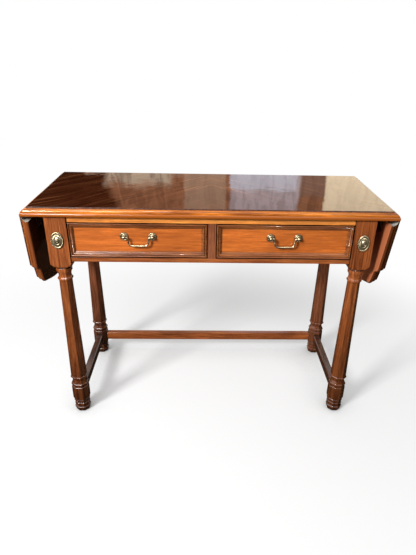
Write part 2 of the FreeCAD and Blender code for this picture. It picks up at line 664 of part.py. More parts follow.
def leg_blank():
    """Leg round its own axis: square post, faceted head rings, tapering shaft, block and foot."""
    head = CASE_BOTTOM
    block_top = BLOCK_BOTTOM + BLOCK_HEIGHT
    cut = head - HEAD_CUT_DROP
    rings = [octagon(POST_SIZE, UNDERSIDE, POST_SIZE), octagon(POST_SIZE, cut, POST_SIZE)]
    rings.append(octagon(POST_SIZE, cut - HEAD_CUT_HEIGHT, HEAD_FLAT))
    stations = ring(HEAD_RING_WIDTH, head - HEAD_RING_DROP, HEAD_RING_HEIGHT)
    stations += [(NECK_WIDTH, head - NECK_DROP), (NECK_WIDTH, head - NECK_DROP - NECK_HEIGHT)]
    stations += ring(COLLAR_WIDTH, head - COLLAR_DROP, COLLAR_HEIGHT)
    stations.append((SHAFT_TOP_WIDTH, head - SHAFT_TOP_DROP))
    stations.append((SHAFT_FOOT_WIDTH, block_top + SHAFT_FOOT_RISE))
    stations += ring(BASE_RING_WIDTH, block_top + BASE_RING_RISE, BASE_RING_HEIGHT)
    stations.append((WAIST_TOP_WIDTH, block_top + WAIST_TOP_RISE))
    stations.append((WAIST_WIDTH, block_top + WAIST_RISE))
    stations.append((WAIST_FOOT_WIDTH, block_top + BLOCK_RING_RISE + RING_EASE / 2))
    stations += ring(BLOCK_RING_WIDTH, block_top + BLOCK_RING_RISE, BLOCK_RING_HEIGHT)
    stations.append((BLOCK_SEAT_WIDTH, block_top + BLOCK_SEAT_RISE))
    stations += [(BLOCK_SIZE, block_top), (BLOCK_SIZE, BLOCK_BOTTOM)]
    stations += ring(ANKLE_RING_WIDTH, BLOCK_BOTTOM - ANKLE_RING_DROP, ANKLE_RING_HEIGHT)
    stations += ring(HEEL_RING_WIDTH, BLOCK_BOTTOM - HEEL_RING_DROP, HEEL_RING_HEIGHT)
    foot_top = BLOCK_BOTTOM - FOOT_DROP
    stations += [(FOOT_TOP_WIDTH, foot_top), (FOOT_WIDTH, foot_top - FOOT_LEDGE), (FOOT_BOTTOM_WIDTH, 0.0)]
    rings += [octagon(width, z) for width, z in stations]
    return skinned(rings)


def tenons(limits, axis, thickness, length=TENON_LENGTH):
    """Limits of the two tenons on the ends of a rail along x, y or z."""
    x0, x1, y0, y1, z0, z1 = limits
    half = thickness / 2
    step = TENON_SHOULDER
    if axis == "x":
        y = (y0 + y1) / 2
        across = (y - half, y + half, z0 + step, z1 - step)
        return [(x1, x1 + length) + across, (x0 - length, x0) + across]
    if axis == "y":
        x = (x0 + x1) / 2
        thick = (x - half, x + half)
        high = (z0 + step, z1 - step)
        return [thick + (y1, y1 + length) + high, thick + (y0 - length, y0) + high]
    x = (x0 + x1) / 2
    across = (x - half, x + half, y0 + step, y1 - step)
    return [across + (z1, z1 + length), across + (z0 - length, z0)]


TOP_RAIL = (-POST_INNER_X, POST_INNER_X, FACE_Y, TOP_RAIL_BACK, TOP_RAIL_BOTTOM, UNDERSIDE)
BOTTOM_RAIL = (-POST_INNER_X, POST_INNER_X, FACE_Y, BOTTOM_RAIL_BACK, CASE_BOTTOM, BOTTOM_RAIL_TOP)
BACK_APRON = (-POST_INNER_X, POST_INNER_X, BACK_APRON_INNER, -FACE_Y, CASE_BOTTOM, UNDERSIDE)
END_APRON = (APRON_INNER_X, APRON_FACE_X, -POST_INNER_Y, POST_INNER_Y, CASE_BOTTOM, UNDERSIDE)
DIVIDER = (-DIVIDER_WIDTH / 2, DIVIDER_WIDTH / 2, FACE_Y, TOP_RAIL_BACK, BOTTOM_RAIL_TOP, TOP_RAIL_BOTTOM)
STRETCHER_BOTTOM = BLOCK_BOTTOM + STRETCHER_LIFT
STRETCHER_TOP = STRETCHER_BOTTOM + STRETCHER_HEIGHT
SIDE_STRETCHER = (
    LEG_X - STRETCHER_THICKNESS / 2, LEG_X + STRETCHER_THICKNESS / 2,
    -LEG_Y + BLOCK_SIZE / 2, LEG_Y - BLOCK_SIZE / 2, STRETCHER_BOTTOM, STRETCHER_TOP,
)
BACK_STRETCHER = (
    -LEG_X + BLOCK_SIZE / 2, LEG_X - BLOCK_SIZE / 2,
    LEG_Y - STRETCHER_THICKNESS / 2, LEG_Y + STRETCHER_THICKNESS / 2, STRETCHER_BOTTOM, STRETCHER_TOP,
)
DIVIDER_TENONS = tenons(DIVIDER, "z", RAIL_TENON, DIVIDER_TENON_LENGTH)


def tenoned(limits, ends):
    """Rail with its tenons."""
    return fused([block(*limits)] + [block(*end) for end in ends])


def rail_ends():
    """Limits of every tenon that enters a leg."""
    ends = tenons(TOP_RAIL, "x", RAIL_TENON) + tenons(BOTTOM_RAIL, "x", BOTTOM_RAIL_TENON)
    ends += tenons(BACK_APRON, "x", APRON_TENON) + tenons(END_APRON, "y", APRON_TENON)
    ends += tenons(SIDE_STRETCHER, "y", STRETCHER_TENON) + tenons(BACK_STRETCHER, "x", STRETCHER_TENON)
    return ends


def right_leg(y_side):
    """Right front leg for -1 or right back leg for +1, with the mortises for what enters it."""
    leg = leg_blank()
    leg.translate(V(LEG_X, y_side * LEG_Y, 0))
    here = [limits for limits in rail_ends() if limits[0] > 0 and limits[2] * y_side > 0]
    return leg.cut([roomy(limits) for limits in here])


def stretcher(limits, axis):
    """Stretcher with its long upper edges eased."""
    x0, x1, y0, y1, z0, z1 = limits
    bevel = STRETCHER_BEVEL
    if axis == "x":
        outline = [V(x0, y0, z0), V(x0, y1, z0), V(x0, y1, z1 - bevel), V(x0, y1 - bevel, z1)]
        outline += [V(x0, y0 + bevel, z1), V(x0, y0, z1 - bevel)]
        bar = prism(outline, V(x1 - x0, 0, 0))
    else:
        outline = [V(x0, y0, z0), V(x1, y0, z0), V(x1, y0, z1 - bevel), V(x1 - bevel, y0, z1)]
        outline += [V(x0 + bevel, y0, z1), V(x0, y0, z1 - bevel)]
        bar = prism(outline, V(0, y1 - y0, 0))
    ends = tenons(limits, axis, STRETCHER_TENON)
    return fused([bar] + [block(*end) for end in ends])


def front_top_rail():
    rail = tenoned(TOP_RAIL, tenons(TOP_RAIL, "x", RAIL_TENON))
    return rail.cut([roomy(DIVIDER_TENONS[0])] + screw_holes(top_screw_places(), TOP_SCREW))


def front_bottom_rail():
    rail = tenoned(BOTTOM_RAIL, tenons(BOTTOM_RAIL, "x", BOTTOM_RAIL_TENON))
    return rail.cut(roomy(DIVIDER_TENONS[1]))


def button_tongue(x):
    """Limits of the tongue of the button at x, in the back apron's groove."""
    middle = (TOP_RAIL_BOTTOM + UNDERSIDE) / 2
    half = BUTTON_TONGUE / 2
    reach = BACK_APRON_INNER + BUTTON_TONGUE
    return (x - BUTTON_WIDTH / 2, x + BUTTON_WIDTH / 2, BACK_APRON_INNER, reach, middle - half, middle + half)


def back_apron():
    apron = tenoned(BACK_APRON, tenons(BACK_APRON, "x", APRON_TENON))
    return apron.cut([roomy(button_tongue(x)) for x in BUTTON_STATIONS])


def end_apron():
    apron = tenoned(END_APRON, tenons(END_APRON, "y", APRON_TENON))
    return apron.cut(screw_holes(stay_case_screw_places(), SHORT_SCREW))


def posts():
    """The square heads of the four legs, for cutting what passes beside them."""
    boxes = []
    for x in (-LEG_X, LEG_X):
        for y in (-LEG_Y, LEG_Y):
            half = POST_SIZE / 2
            boxes.append(block(x - half, x + half, y - half, y + half, CASE_BOTTOM, UNDERSIDE))
    return boxes


def end_runner():
    """Right end runner, with a guide beside the drawer between the posts."""
    inner = POST_INNER_X - RUNNER_REACH
    bar = block(inner, APRON_INNER_X, BOTTOM_RAIL_BACK, BACK_APRON_INNER, CASE_BOTTOM, RUNNER_TOP)
    guide_x = DRAWER_OUTER_END + GUIDE_GAP
    guide_top = RUNNER_TOP + GUIDE_HEIGHT
    guide = block(guide_x, APRON_INNER_X, -POST_INNER_Y, POST_INNER_Y, CASE_BOTTOM, guide_top)
    return fused([bar.cut(posts()), guide])


def centre_runner():
    half = CENTRE_RUNNER_WIDTH / 2
    guide_half = DRAWER_INNER_END - GUIDE_GAP
    guide_top = RUNNER_TOP + GUIDE_HEIGHT
    bar = block(-half, half, BOTTOM_RAIL_BACK, BACK_APRON_INNER, CASE_BOTTOM, RUNNER_TOP)
    guide = block(-guide_half, guide_half, BOTTOM_RAIL_BACK, BACK_APRON_INNER, CASE_BOTTOM, guide_top)
    return fused([bar, guide])


def kickers():
    """Three bars over the drawers' sides that keep an open drawer from tipping."""
    inner = POST_INNER_X - RUNNER_REACH
    half = CENTRE_RUNNER_WIDTH / 2
    end = block(inner, APRON_INNER_X, TOP_RAIL_BACK, BACK_APRON_INNER, TOP_RAIL_BOTTOM, UNDERSIDE)
    end = end.cut(posts())
    centre = block(-half, half, TOP_RAIL_BACK, BACK_APRON_INNER, TOP_RAIL_BOTTOM, UNDERSIDE)
    holes = screw_holes(top_screw_places(), TOP_SCREW)
    return [bar.cut(holes) for bar in (mirrored(end), centre, end)]


def drawer_stops():
    z0 = RUNNER_TOP + STOP_HEIGHT
    places = (DRAWER_INNER_END + STOP_INSET, DRAWER_OUTER_END - STOP_INSET - STOP_SIZE)
    stops = []
    for x in places:
        stops.append(block(x, x + STOP_SIZE, DRAWER_REAR_Y + SLIDE_GAP, BACK_APRON_INNER, z0, z0 + STOP_SIZE))
    return stops + [mirrored(stop) for stop in stops]


def top_buttons():
    buttons = []
    holes = screw_holes(top_screw_places(), TOP_SCREW)
    half = BUTTON_WIDTH / 2
    inner = BACK_APRON_INNER - BUTTON_REACH
    for x in BUTTON_STATIONS:
        body = block(x - half, x + half, inner, BACK_APRON_INNER, TOP_RAIL_BOTTOM, UNDERSIDE)
        buttons.append(fused([body, block(*button_tongue(x))]).cut(holes))
    return buttons


def dovetails(x0, x1, y_root, reach, gap=0.0):
    """Tails on a drawer side from y_root over reach (negative is forwards); a gap makes the sockets."""
    pitch = (SIDE_TOP - SIDE_BOTTOM) / DOVETAIL_COUNT
    tails = []
    for i in range(DOVETAIL_COUNT):
        middle = SIDE_BOTTOM + pitch * (i + 0.5)
        neck = DOVETAIL_NECK / 2 + gap
        tip = neck + DOVETAIL_SPLAY
        y_tip = y_root + reach + math.copysign(gap, reach)
        outline = [V(x0 - gap, y_root, middle - neck), V(x0 - gap, y_tip, middle - tip)]
        outline += [V(x0 - gap, y_tip, middle + tip), V(x0 - gap, y_root, middle + neck)]
        tails.append(prism(outline, V(x1 - x0 + 2 * gap, 0, 0)))
    return tails


def side_spans():
    """Inner and outer faces of a right drawer's two sides."""
    return (
        (DRAWER_INNER_END, DRAWER_INNER_END + DRAWER_SIDE_THICKNESS),
        (DRAWER_OUTER_END - DRAWER_SIDE_THICKNESS, DRAWER_OUTER_END),
    )


def bottom_limits():
    """Limits of a drawer bottom, which slides in under the back into three grooves."""
    room = GROOVE_DEPTH - JOINERY_GAP
    (_, x0), (x1, _) = side_spans()
    return (x0 - room, x1 + room, FRONT_BACK_Y - room, DRAWER_REAR_Y, PANEL_BOTTOM, PANEL_TOP)


def pull_post_x():
    return (DRAWER_MIDDLE - PULL_CENTRES / 2, DRAWER_MIDDLE + PULL_CENTRES / 2)


def drawer_front():
    board = block(DRAWER_INNER_END, DRAWER_OUTER_END, PANEL_Y, FRONT_BACK_Y, FRONT_BOTTOM, FRONT_TOP)
    cuts = [roomy(bottom_limits())]
    for x0, x1 in side_spans():
        cuts += dovetails(x0, x1, FRONT_BACK_Y, -DOVETAIL_LAP, LAP_GAP)
    for x in pull_post_x():
        start = V(x, PANEL_Y - CUT_PAST, PULL_Z)
        cuts.append(rod(PULL_SHANK_RADIUS + LAP_GAP, start, V(x, FRONT_BACK_Y + CUT_PAST, PULL_Z)))
    return board.cut(cuts)


def drawer_side(x0, x1):
    board = block(x0, x1, FRONT_BACK_Y, DRAWER_REAR_Y, SIDE_BOTTOM, SIDE_TOP)
    side = fused([board] + dovetails(x0, x1, FRONT_BACK_Y, -DOVETAIL_LAP))
    return side.cut(roomy(bottom_limits()))


def drawer_back():
    (_, x0), (x1, _) = side_spans()
    top = SIDE_TOP - DRAWER_BACK_DROP
    return block(x0, x1, DRAWER_REAR_Y - DRAWER_BACK_THICKNESS, DRAWER_REAR_Y, PANEL_TOP + JOINERY_GAP, top)


def moulding_section():
    """Points across a drawer moulding: distance in from its outer edge, and depth behind the rails' face."""
    bead_centre = MOULD_BEAD_WIDTH / 2
    points = [(0.0, PANEL_RECESS)]
    for i in range(2 * MOULD_FACETS + 1):
        turn = math.pi * i / (2 * MOULD_FACETS)
        s = bead_centre * (1 - math.cos(turn))
        points.append((s, -MOULD_PROUD * math.sin(turn) + MOULD_FIRST_DEPTH * (1 - math.sin(turn))))
    first = (MOULD_BEAD_WIDTH + MOULD_FIRST_FILLET, MOULD_FIRST_DEPTH)
    second = (first[0] + MOULD_OVOLO_WIDTH, MOULD_SECOND_DEPTH)
    third = (second[0] + MOULD_SECOND_FILLET, MOULD_SECOND_DEPTH)
    points.append(first)
    points += quarter(first, second, MOULD_FACETS, "convex")
    points.append(third)
    points += quarter(third, (MOULD_WIDTH, PANEL_RECESS), MOULD_FACETS, "hollow")
    return points


def drawer_moulding():
    """Four mitred strips round the face of the right drawer."""
    section = moulding_section()
    x0, x1, z0, z1 = DRAWER_INNER_END, DRAWER_OUTER_END, FRONT_BOTTOM, FRONT_TOP
    corners = [(x0, z0, 1, 1), (x1, z0, -1, 1), (x1, z1, -1, -1), (x0, z1, 1, -1)]
    strips = []
    for i in range(4):
        ends = []
        for x, z, in_x, in_z in (corners[i], corners[(i + 1) % 4]):
            ends.append([V(x + in_x * s, FACE_Y + depth, z + in_z * s) for s, depth in section])
        strips.append(skinned(ends))
    return strips


def turned(x, y, z, profile):
    """Solid of revolution about a line along -Y from (x, y, z); profile is radius and height."""
    points = [V(x + radius, y - height, z) for radius, height in profile]
    face = Part.Face(Part.makePolygon(points + points[:1]))
    return face.revolve(V(x, y, z), V(0, 1, 0), 360)


def pull_rosettes():
    hole = PULL_SHANK_RADIUS + LAP_GAP
    rim = ROSETTE_RADIUS
    shoulder = 0.85 * ROSETTE_RIM
    profile = [
        (hole, 0.0), (rim, 0.0), (rim, ROSETTE_RIM / 2), (rim - 0.2 * ROSETTE_ROLL, shoulder),
        (rim - ROSETTE_ROLL / 2, ROSETTE_RIM), (rim - 0.8 * ROSETTE_ROLL, shoulder),
        (rim - ROSETTE_ROLL, ROSETTE_DISH), (ROSETTE_HUB_RADIUS + ROSETTE_HUB_FOOT, ROSETTE_DISH),
        (ROSETTE_HUB_RADIUS, shoulder),
        (ROSETTE_HUB_RADIUS - ROSETTE_HUB_FOOT, ROSETTE_RIM), (hole, ROSETTE_RIM),
    ]
    return [turned(x, PANEL_Y, PULL_Z, profile) for x in pull_post_x()]


def bail_pin(x, outward):
    """Pivot pin of the bail in the post at x; outward is the side that leads away from the bail."""
    start = V(x - outward * (PULL_BALL_RADIUS + BAIL_COLLAR_GAP + BAIL_COLLAR_WIDTH), PULL_Y, PULL_Z)
    return start, V(x + outward * BAIL_PIN_RADIUS, PULL_Y, PULL_Z)


def pull_posts():
    """Two ball posts, each with a shank through the drawer front and a nut inside."""
    pieces = []
    shank_end = FRONT_BACK_Y + PULL_NUT_THICKNESS + PULL_SHANK_END
    for x, outward in zip(pull_post_x(), (-1, 1)):
        ball = Part.makeSphere(PULL_BALL_RADIUS, V(x, PULL_Y, PULL_Z))
        neck = rod(PULL_NECK_RADIUS, V(x, PANEL_Y - ROSETTE_RIM, PULL_Z), V(x, PULL_Y, PULL_Z))
        shank = rod(PULL_SHANK_RADIUS, V(x, PULL_Y, PULL_Z), V(x, shank_end, PULL_Z))
        start, end = bail_pin(x, outward)
        deeper = V(outward * BAIL_FIT, 0, 0)
        bore = rod(BAIL_PIN_RADIUS + BAIL_FIT, start, end + deeper)
        pieces.append(fused([ball, neck, shank]).cut(bore))
        radius = PULL_NUT_WIDTH / math.sqrt(3)
        corners = [math.pi / 3 * i for i in range(6)]
        outline = [V(x + radius * math.cos(a), FRONT_BACK_Y, PULL_Z + radius * math.sin(a)) for a in corners]
        nut = prism(outline, V(0, PULL_NUT_THICKNESS, 0))
        hole = rod(PULL_SHANK_RADIUS, V(x, FRONT_BACK_Y, PULL_Z), V(x, shank_end, PULL_Z))
        pieces.append(nut.cut(hole))
    return pieces


def spindle(start, end, beads):
    """Straight stretch of the bail's wire with beads, each a distance from the start and a radius."""
    along = (end - start).normalize()
    side = V(0, 1, 0)
    wire = BAIL_WIRE / 2
    outline = [start, start + side * wire]
    for distance, radius in beads:
        first = math.asin(wire / radius)
        for i in range(BEAD_FACETS + 1):
            turn = first + (math.pi - 2 * first) * i / BEAD_FACETS
            reach = distance - radius * math.cos(turn)
            outline.append(start + along * reach + side * (radius * math.sin(turn)))
    outline += [end + side * wire, end]
    return Part.Face(Part.makePolygon(outline + outline[:1])).revolve(start, along, 360)


def bend(before, corner, after, radius):
    """Round bend of the bail's wire at a corner, and the points where it starts and ends."""
    back = (before - corner).normalize()
    on = (after - corner).normalize()
    half = back.getAngle(on) / 2
    start = corner + back * (radius / math.tan(half))
    end = corner + on * (radius / math.tan(half))
    centre = corner + (back + on).normalize() * (radius / math.sin(half))
    disc = Part.Face(Part.Wire(Part.makeCircle(BAIL_WIRE / 2, start, back)))
    axis = (start - centre).cross(end - centre)
    return disc.revolve(centre, axis, 180 - math.degrees(2 * half)), start, end


def bail_half(outward):
    """Half of the right drawer's bail, from its pin to the middle of the bottom bar."""
    x = DRAWER_MIDDLE + outward * PULL_CENTRES / 2
    shoulder = PULL_BALL_RADIUS + BAIL_COLLAR_GAP
    pin_start, pin_end = bail_pin(x, outward)
    collar_start = V(x - outward * shoulder, PULL_Y, PULL_Z)
    collar_end = V(x - outward * (shoulder + BAIL_COLLAR_WIDTH), PULL_Y, PULL_Z)
    neck = V(x - outward * BAIL_NECK_INSET, PULL_Y, PULL_Z)
    foot = V(x - outward * BAIL_FOOT_INSET, PULL_Y, PULL_Z - BAIL_DROP)
    middle = V(DRAWER_MIDDLE, PULL_Y, PULL_Z - BAIL_DROP)
    neck_bend, neck_start, arm_start = bend(collar_end, neck, foot, BAIL_NECK_RADIUS)
    foot_bend, arm_end, bar_start = bend(neck, foot, middle, BAIL_FOOT_RADIUS)
    bar = (middle - bar_start).Length
    arm_beads = [(BAIL_ARM_BEAD_DROP - BAIL_NECK_RADIUS, BAIL_SIDE_BEAD_RADIUS)]
    return [
        rod(BAIL_PIN_RADIUS, pin_start, pin_end),
        rod(BAIL_COLLAR_RADIUS, collar_start, collar_end),
        spindle(collar_end, neck_start, []),
        neck_bend,
        spindle(arm_start, arm_end, arm_beads),
        foot_bend,
        spindle(bar_start, middle, [(bar - BAIL_SIDE_BEAD_OUT, BAIL_SIDE_BEAD_RADIUS)]),
    ]


def bail():
    """Swinging handle: swan-necked wire with collars and beads, and a pin into each post."""
    middle = V(DRAWER_MIDDLE, PULL_Y, PULL_Z - BAIL_DROP)
    half = V(BAIL_BEAD_RADIUS, 0, 0)
    bead = spindle(middle - half, middle + half, [(BAIL_BEAD_RADIUS, BAIL_BEAD_RADIUS)])
    pieces = [bead] + bail_half(-1) + bail_half(1)
    return pieces[0].fuse(pieces[1:])


def oval(width, height, y0, y1, x, z):
    """Flat oval slab between two planes across Y."""
    ellipse = Part.Ellipse(V(0, 0, 0), height / 2, width / 2)
    face = Part.Face(Part.Wire(ellipse.toShape()))
    slab = face.extrude(V(0, 0, abs(y1 - y0)))
    upright = FreeCAD.Rotation(V(0, 0, 1), V(1, 0, 0), V(0, -1, 0), "ZXY")
    slab.Placement = FreeCAD.Placement(V(x, max(y0, y1), z), upright)
    return slab


def post_rosette():
    """Oval brass rosette on the right front post: plate, raised rim and dome."""
    z = UNDERSIDE - OVAL_DROP
    face = -POST_OUTER_Y
    plate = oval(OVAL_WIDTH, OVAL_HEIGHT, face - OVAL_PLATE, face, LEG_X, z)
    rim_face = face - OVAL_PLATE - OVAL_RIM_RISE
    rim = oval(OVAL_WIDTH, OVAL_HEIGHT, rim_face, face, LEG_X, z)
    rim = rim.cut(oval(OVAL_WIDTH - 2 * OVAL_RIM, OVAL_HEIGHT - 2 * OVAL_RIM, rim_face, face, LEG_X, z))
    dome = Part.makeSphere(1.0)
    scale = FreeCAD.Matrix()
    scale.A11 = OVAL_WIDTH / 2 * OVAL_DOME_SHARE
    scale.A22 = OVAL_DOME_RISE
    scale.A33 = OVAL_HEIGHT / 2 * OVAL_DOME_SHARE
    dome = dome.transformGeometry(scale)
    dome.translate(V(LEG_X, face - OVAL_PLATE, z))
    ahead = block(LEG_X - OVAL_WIDTH, LEG_X + OVAL_WIDTH, face - OVAL_HEIGHT, face - OVAL_PLATE / 2,
                  z - OVAL_HEIGHT, z + OVAL_HEIGHT)
    return fused([plate, rim, dome.common(ahead)])


def stay_case_pivot():
    return V(APRON_FACE_X + STAY_STANDOFF, 0, HINGE_Z - STAY_CASE_DROP)


def stay_leaf_pivot():
    """Leaf pivot of the right stay with the leaf raised."""
    return V(HINGE_X + STAY_LEAF_REACH, 0, UNDERSIDE - STAY_STANDOFF)


def stay_points(lean):
    """Case pivot, leaf pivot and knee of the right stay with the leaf hanging at a lean."""
    case = stay_case_pivot()
    raised = stay_leaf_pivot()
    hanging = swung_point(raised, PLUMB + lean)
    span = (raised - case).Length
    bend = math.radians(180 - STAY_OPEN_ANGLE)
    long_link = STAY_LONG_LINK
    short_link = math.sqrt(span ** 2 - (long_link * math.sin(bend)) ** 2) - long_link * math.cos(bend)
    gap = hanging - case
    along = (gap.Length ** 2 + long_link ** 2 - short_link ** 2) / (2 * gap.Length)
    off = math.sqrt(long_link ** 2 - along ** 2)
    unit = V(gap).normalize()
    knee = case + unit * along + V(unit.z, 0, -unit.x) * off
    return case, hanging, knee


def stay_case_screw_places():
    case = stay_case_pivot()
    spread = STAY_SCREW_SPREAD
    plate = STAY_THICKNESS
    return [(V(APRON_FACE_X + plate, 0, case.z + dz), V(-1, 0, 0)) for dz in (-spread, spread)]


def stay_leaf_screw_places():
    """Screws of the leaf's bracket with the leaf raised."""
    x = HINGE_X + STAY_LEAF_REACH
    z = LEAF_UNDER - STAY_THICKNESS
    return [(V(x + dx, 0, z), V(0, 0, 1)) for dx in (-STAY_SCREW_SPREAD, STAY_SCREW_SPREAD)]


def stay_planes():
    """Across the stay: inner and outer face of a link, then of its ear."""
    link = STAY_HALF_GAP + STAY_THICKNESS
    ear = link + STAY_EAR_GAP
    return STAY_HALF_GAP, link, ear, ear + STAY_THICKNESS


def flat_link(pivot, knee, side):
    """Flat link on one side of the stay's middle plane, with its bore and half of the knee rivet."""
    near, far, _, _ = stay_planes()
    half = STAY_WIDTH / 2
    y0, y1 = sorted((side * near, side * far))
    lift = V(0, y0, 0)
    thick = V(0, y1 - y0, 0)
    along = V(knee - pivot).normalize()
    across = V(along.z, 0, -along.x) * half
    outline = [pivot + across, knee + across, knee - across, pivot - across]
    bar = prism([point + lift for point in outline], thick)
    ends = [rod(half, point + lift, point + lift + thick) for point in (pivot, knee)]
    head_start = knee + V(0, side * far, 0)
    head = rod(STAY_HEAD_RADIUS, head_start, head_start + V(0, side * STAY_HEAD_HEIGHT, 0))
    reach = V(0, side * (far + CUT_PAST), 0)
    bore = rod(STAY_RIVET_RADIUS + STAY_RIVET_FIT, pivot - reach, pivot + reach)
    return fused([bar] + ends + [head]).cut(bore)


def stay_bracket(pivot, base_x, side, places):
    """Angle bracket with one ear, and the rivet that carries a link; base_x is the face it is screwed to."""
    near, _, ear_in, ear_out = stay_planes()
    toward = 1 if pivot.x > base_x else -1
    plate_x = base_x + toward * STAY_THICKNESS
    x0, x1 = sorted((base_x, plate_x))
    half_wide = STAY_BASE_WIDTH / 2
    half_long = STAY_BASE_LENGTH / 2
    base = block(x0, x1, -half_wide, half_wide, pivot.z - half_long, pivot.z + half_long)
    y0, y1 = sorted((side * ear_in, side * ear_out))
    half = STAY_WIDTH / 2
    e0, e1 = sorted((plate_x, pivot.x))
    web = block(e0, e1, y0, y1, pivot.z - half, pivot.z + half)
    ear = rod(half, V(pivot.x, y0, pivot.z), V(pivot.x, y1, pivot.z))
    bore = rod(STAY_RIVET_RADIUS, V(pivot.x, y0 - CUT_PAST, pivot.z), V(pivot.x, y1 + CUT_PAST, pivot.z))
    bracket = fused([base, web, ear]).cut([bore] + screw_holes(places, SHORT_SCREW))
    shank = rod(STAY_RIVET_RADIUS, V(pivot.x, side * near, pivot.z), V(pivot.x, side * ear_out, pivot.z))
    cap_start = V(pivot.x, side * ear_out, pivot.z)
    cap = rod(STAY_HEAD_RADIUS, cap_start, cap_start + V(0, side * STAY_HEAD_HEIGHT, 0))
    return [bracket, fused([shank, cap])]


def stay_case_bracket():
    return stay_bracket(stay_case_pivot(), APRON_FACE_X, -1, stay_case_screw_places())


def stay_leaf_bracket():
    """Leaf's bracket with the leaf raised; it is made upright and swung up."""
    upright = swung_point(stay_leaf_pivot(), PLUMB)
    inner_face = HINGE_X - (HINGE_Z - UNDERSIDE)
    places = [(swung_point(head, PLUMB), V(1, 0, 0)) for head, _ in stay_leaf_screw_places()]
    return [swung(piece, -PLUMB) for piece in stay_bracket(upright, inner_face, 1, places)]


def stay_links(lean):
    """Long and short link of the right stay with the leaf hanging at a lean."""
    case, hanging, knee = stay_points(lean)
    return flat_link(case, knee, -1), flat_link(hanging, knee, 1)


def leaf_screws():
    """Every screw that rides on the right leaf, with the leaf raised."""
    places = leaf_hinge_screw_places() + stay_leaf_screw_places()
    return [screw(head, direction, SHORT_SCREW) for head, direction in places]


def case_hardware_screws():
    places = top_hinge_screw_places() + stay_case_screw_places()
    right = [screw(head, direction, SHORT_SCREW) for head, direction in places]
    return right + [mirrored(piece) for piece in right]


def save(node, pieces):
    """Write one node as a STEP file, and refuse a faulty solid."""
    for piece in pieces:
        solids = piece.Solids
        if len(solids) != 1 or not piece.isValid() or solids[0].Volume <= 0:
            raise ValueError("%s has a faulty solid" % node)
    singles = [piece.Solids[0] for piece in pieces]
    shape = singles[0] if len(singles) == 1 else Part.makeCompound(singles)
    shape.exportStep("parts/%s.step" % node)
    print("%-28s %2d solids, %10.0f mm3" % (node, len(singles), shape.Volume))


def save_pair(name, pieces):
    """Write a right-hand node and its mirrored left-hand twin."""
    save("right_" + name, pieces)
    save("left_" + name, [mirrored(piece) for piece in pieces])


def save_side(side, name, pieces):
    """Write a node for one side from its right-hand pieces."""
    save(side + "_" + name, pieces if side == "right" else [mirrored(piece) for piece in pieces])


def save_hung(name, pieces):
    """Write the nodes of both leaves from pieces of the raised right leaf, each hanging at its own lean."""
    for side, lean in LEAF_LEANS:
        save_side(side, name, [swung(piece, PLUMB + lean) for piece in pieces])


def main():
    os.makedirs("parts", exist_ok=True)
    save("top_board", [top_board()])

    for name, y_side in (("front", -1), ("back", 1)):
        leg = right_leg(y_side)
        save(name + "_right_leg", [leg])
        save(name + "_left_leg", [mirrored(leg)])
    save_pair("stretcher", [stretcher(SIDE_STRETCHER, "y")])
    save("back_stretcher", [stretcher(BACK_STRETCHER, "x")])

    save("front_top_rail", [front_top_rail()])
    save("front_bottom_rail", [front_bottom_rail()])
    save("centre_divider", [tenoned(DIVIDER, DIVIDER_TENONS)])
    save_pair("end_apron", [end_apron()])
    save("back_apron", [back_apron()])
    save_pair("drawer_runner", [end_runner()])
    save("centre_drawer_runner", [centre_runner()])
    save("drawer_kickers", kickers())
    save("drawer_stops", drawer_stops())
    save("top_buttons", top_buttons())
    save("top_screws", [screw(head, up, TOP_SCREW) for head, up in top_screw_places()])
    save_pair("post_rosette", [post_rosette()])

    save_hung("leaf", [leaf()])
    save_pair("hinge_top_plates", hinge_top_plates())
    save_hung("hinge_leaf_plates", hinge_leaf_plates())
    save("hinge_pins", hinge_pins())
    save("case_hardware_screws", case_hardware_screws())
    save_hung("leaf_screws", leaf_screws())
    save_pair("stay_case_bracket", stay_case_bracket())
    save_hung("stay_leaf_bracket", stay_leaf_bracket())
    for side, lean in LEAF_LEANS:
        long_link, short_link = stay_links(lean)
        save_side(side, "stay_long_link", [long_link])
        save_side(side, "stay_short_link", [short_link])

    save_pair("drawer_front", [drawer_front()])
    save_pair("drawer_moulding", drawer_moulding())
    inner_span, outer_span = side_spans()
    save_pair("drawer_inner_side", [drawer_side(*inner_span)])
    save_pair("drawer_outer_side", [drawer_side(*outer_span)])
    save_pair("drawer_back", [drawer_back()])
    save_pair("drawer_bottom", [block(*bottom_limits())])
    save_pair("pull_rosettes", pull_rosettes())
    save_pair("pull_posts", pull_posts())
    save_pair("pull_bail", [bail()])


main()
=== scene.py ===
import json
import math

import bmesh
import bpy
from mathutils import Matrix, Vector

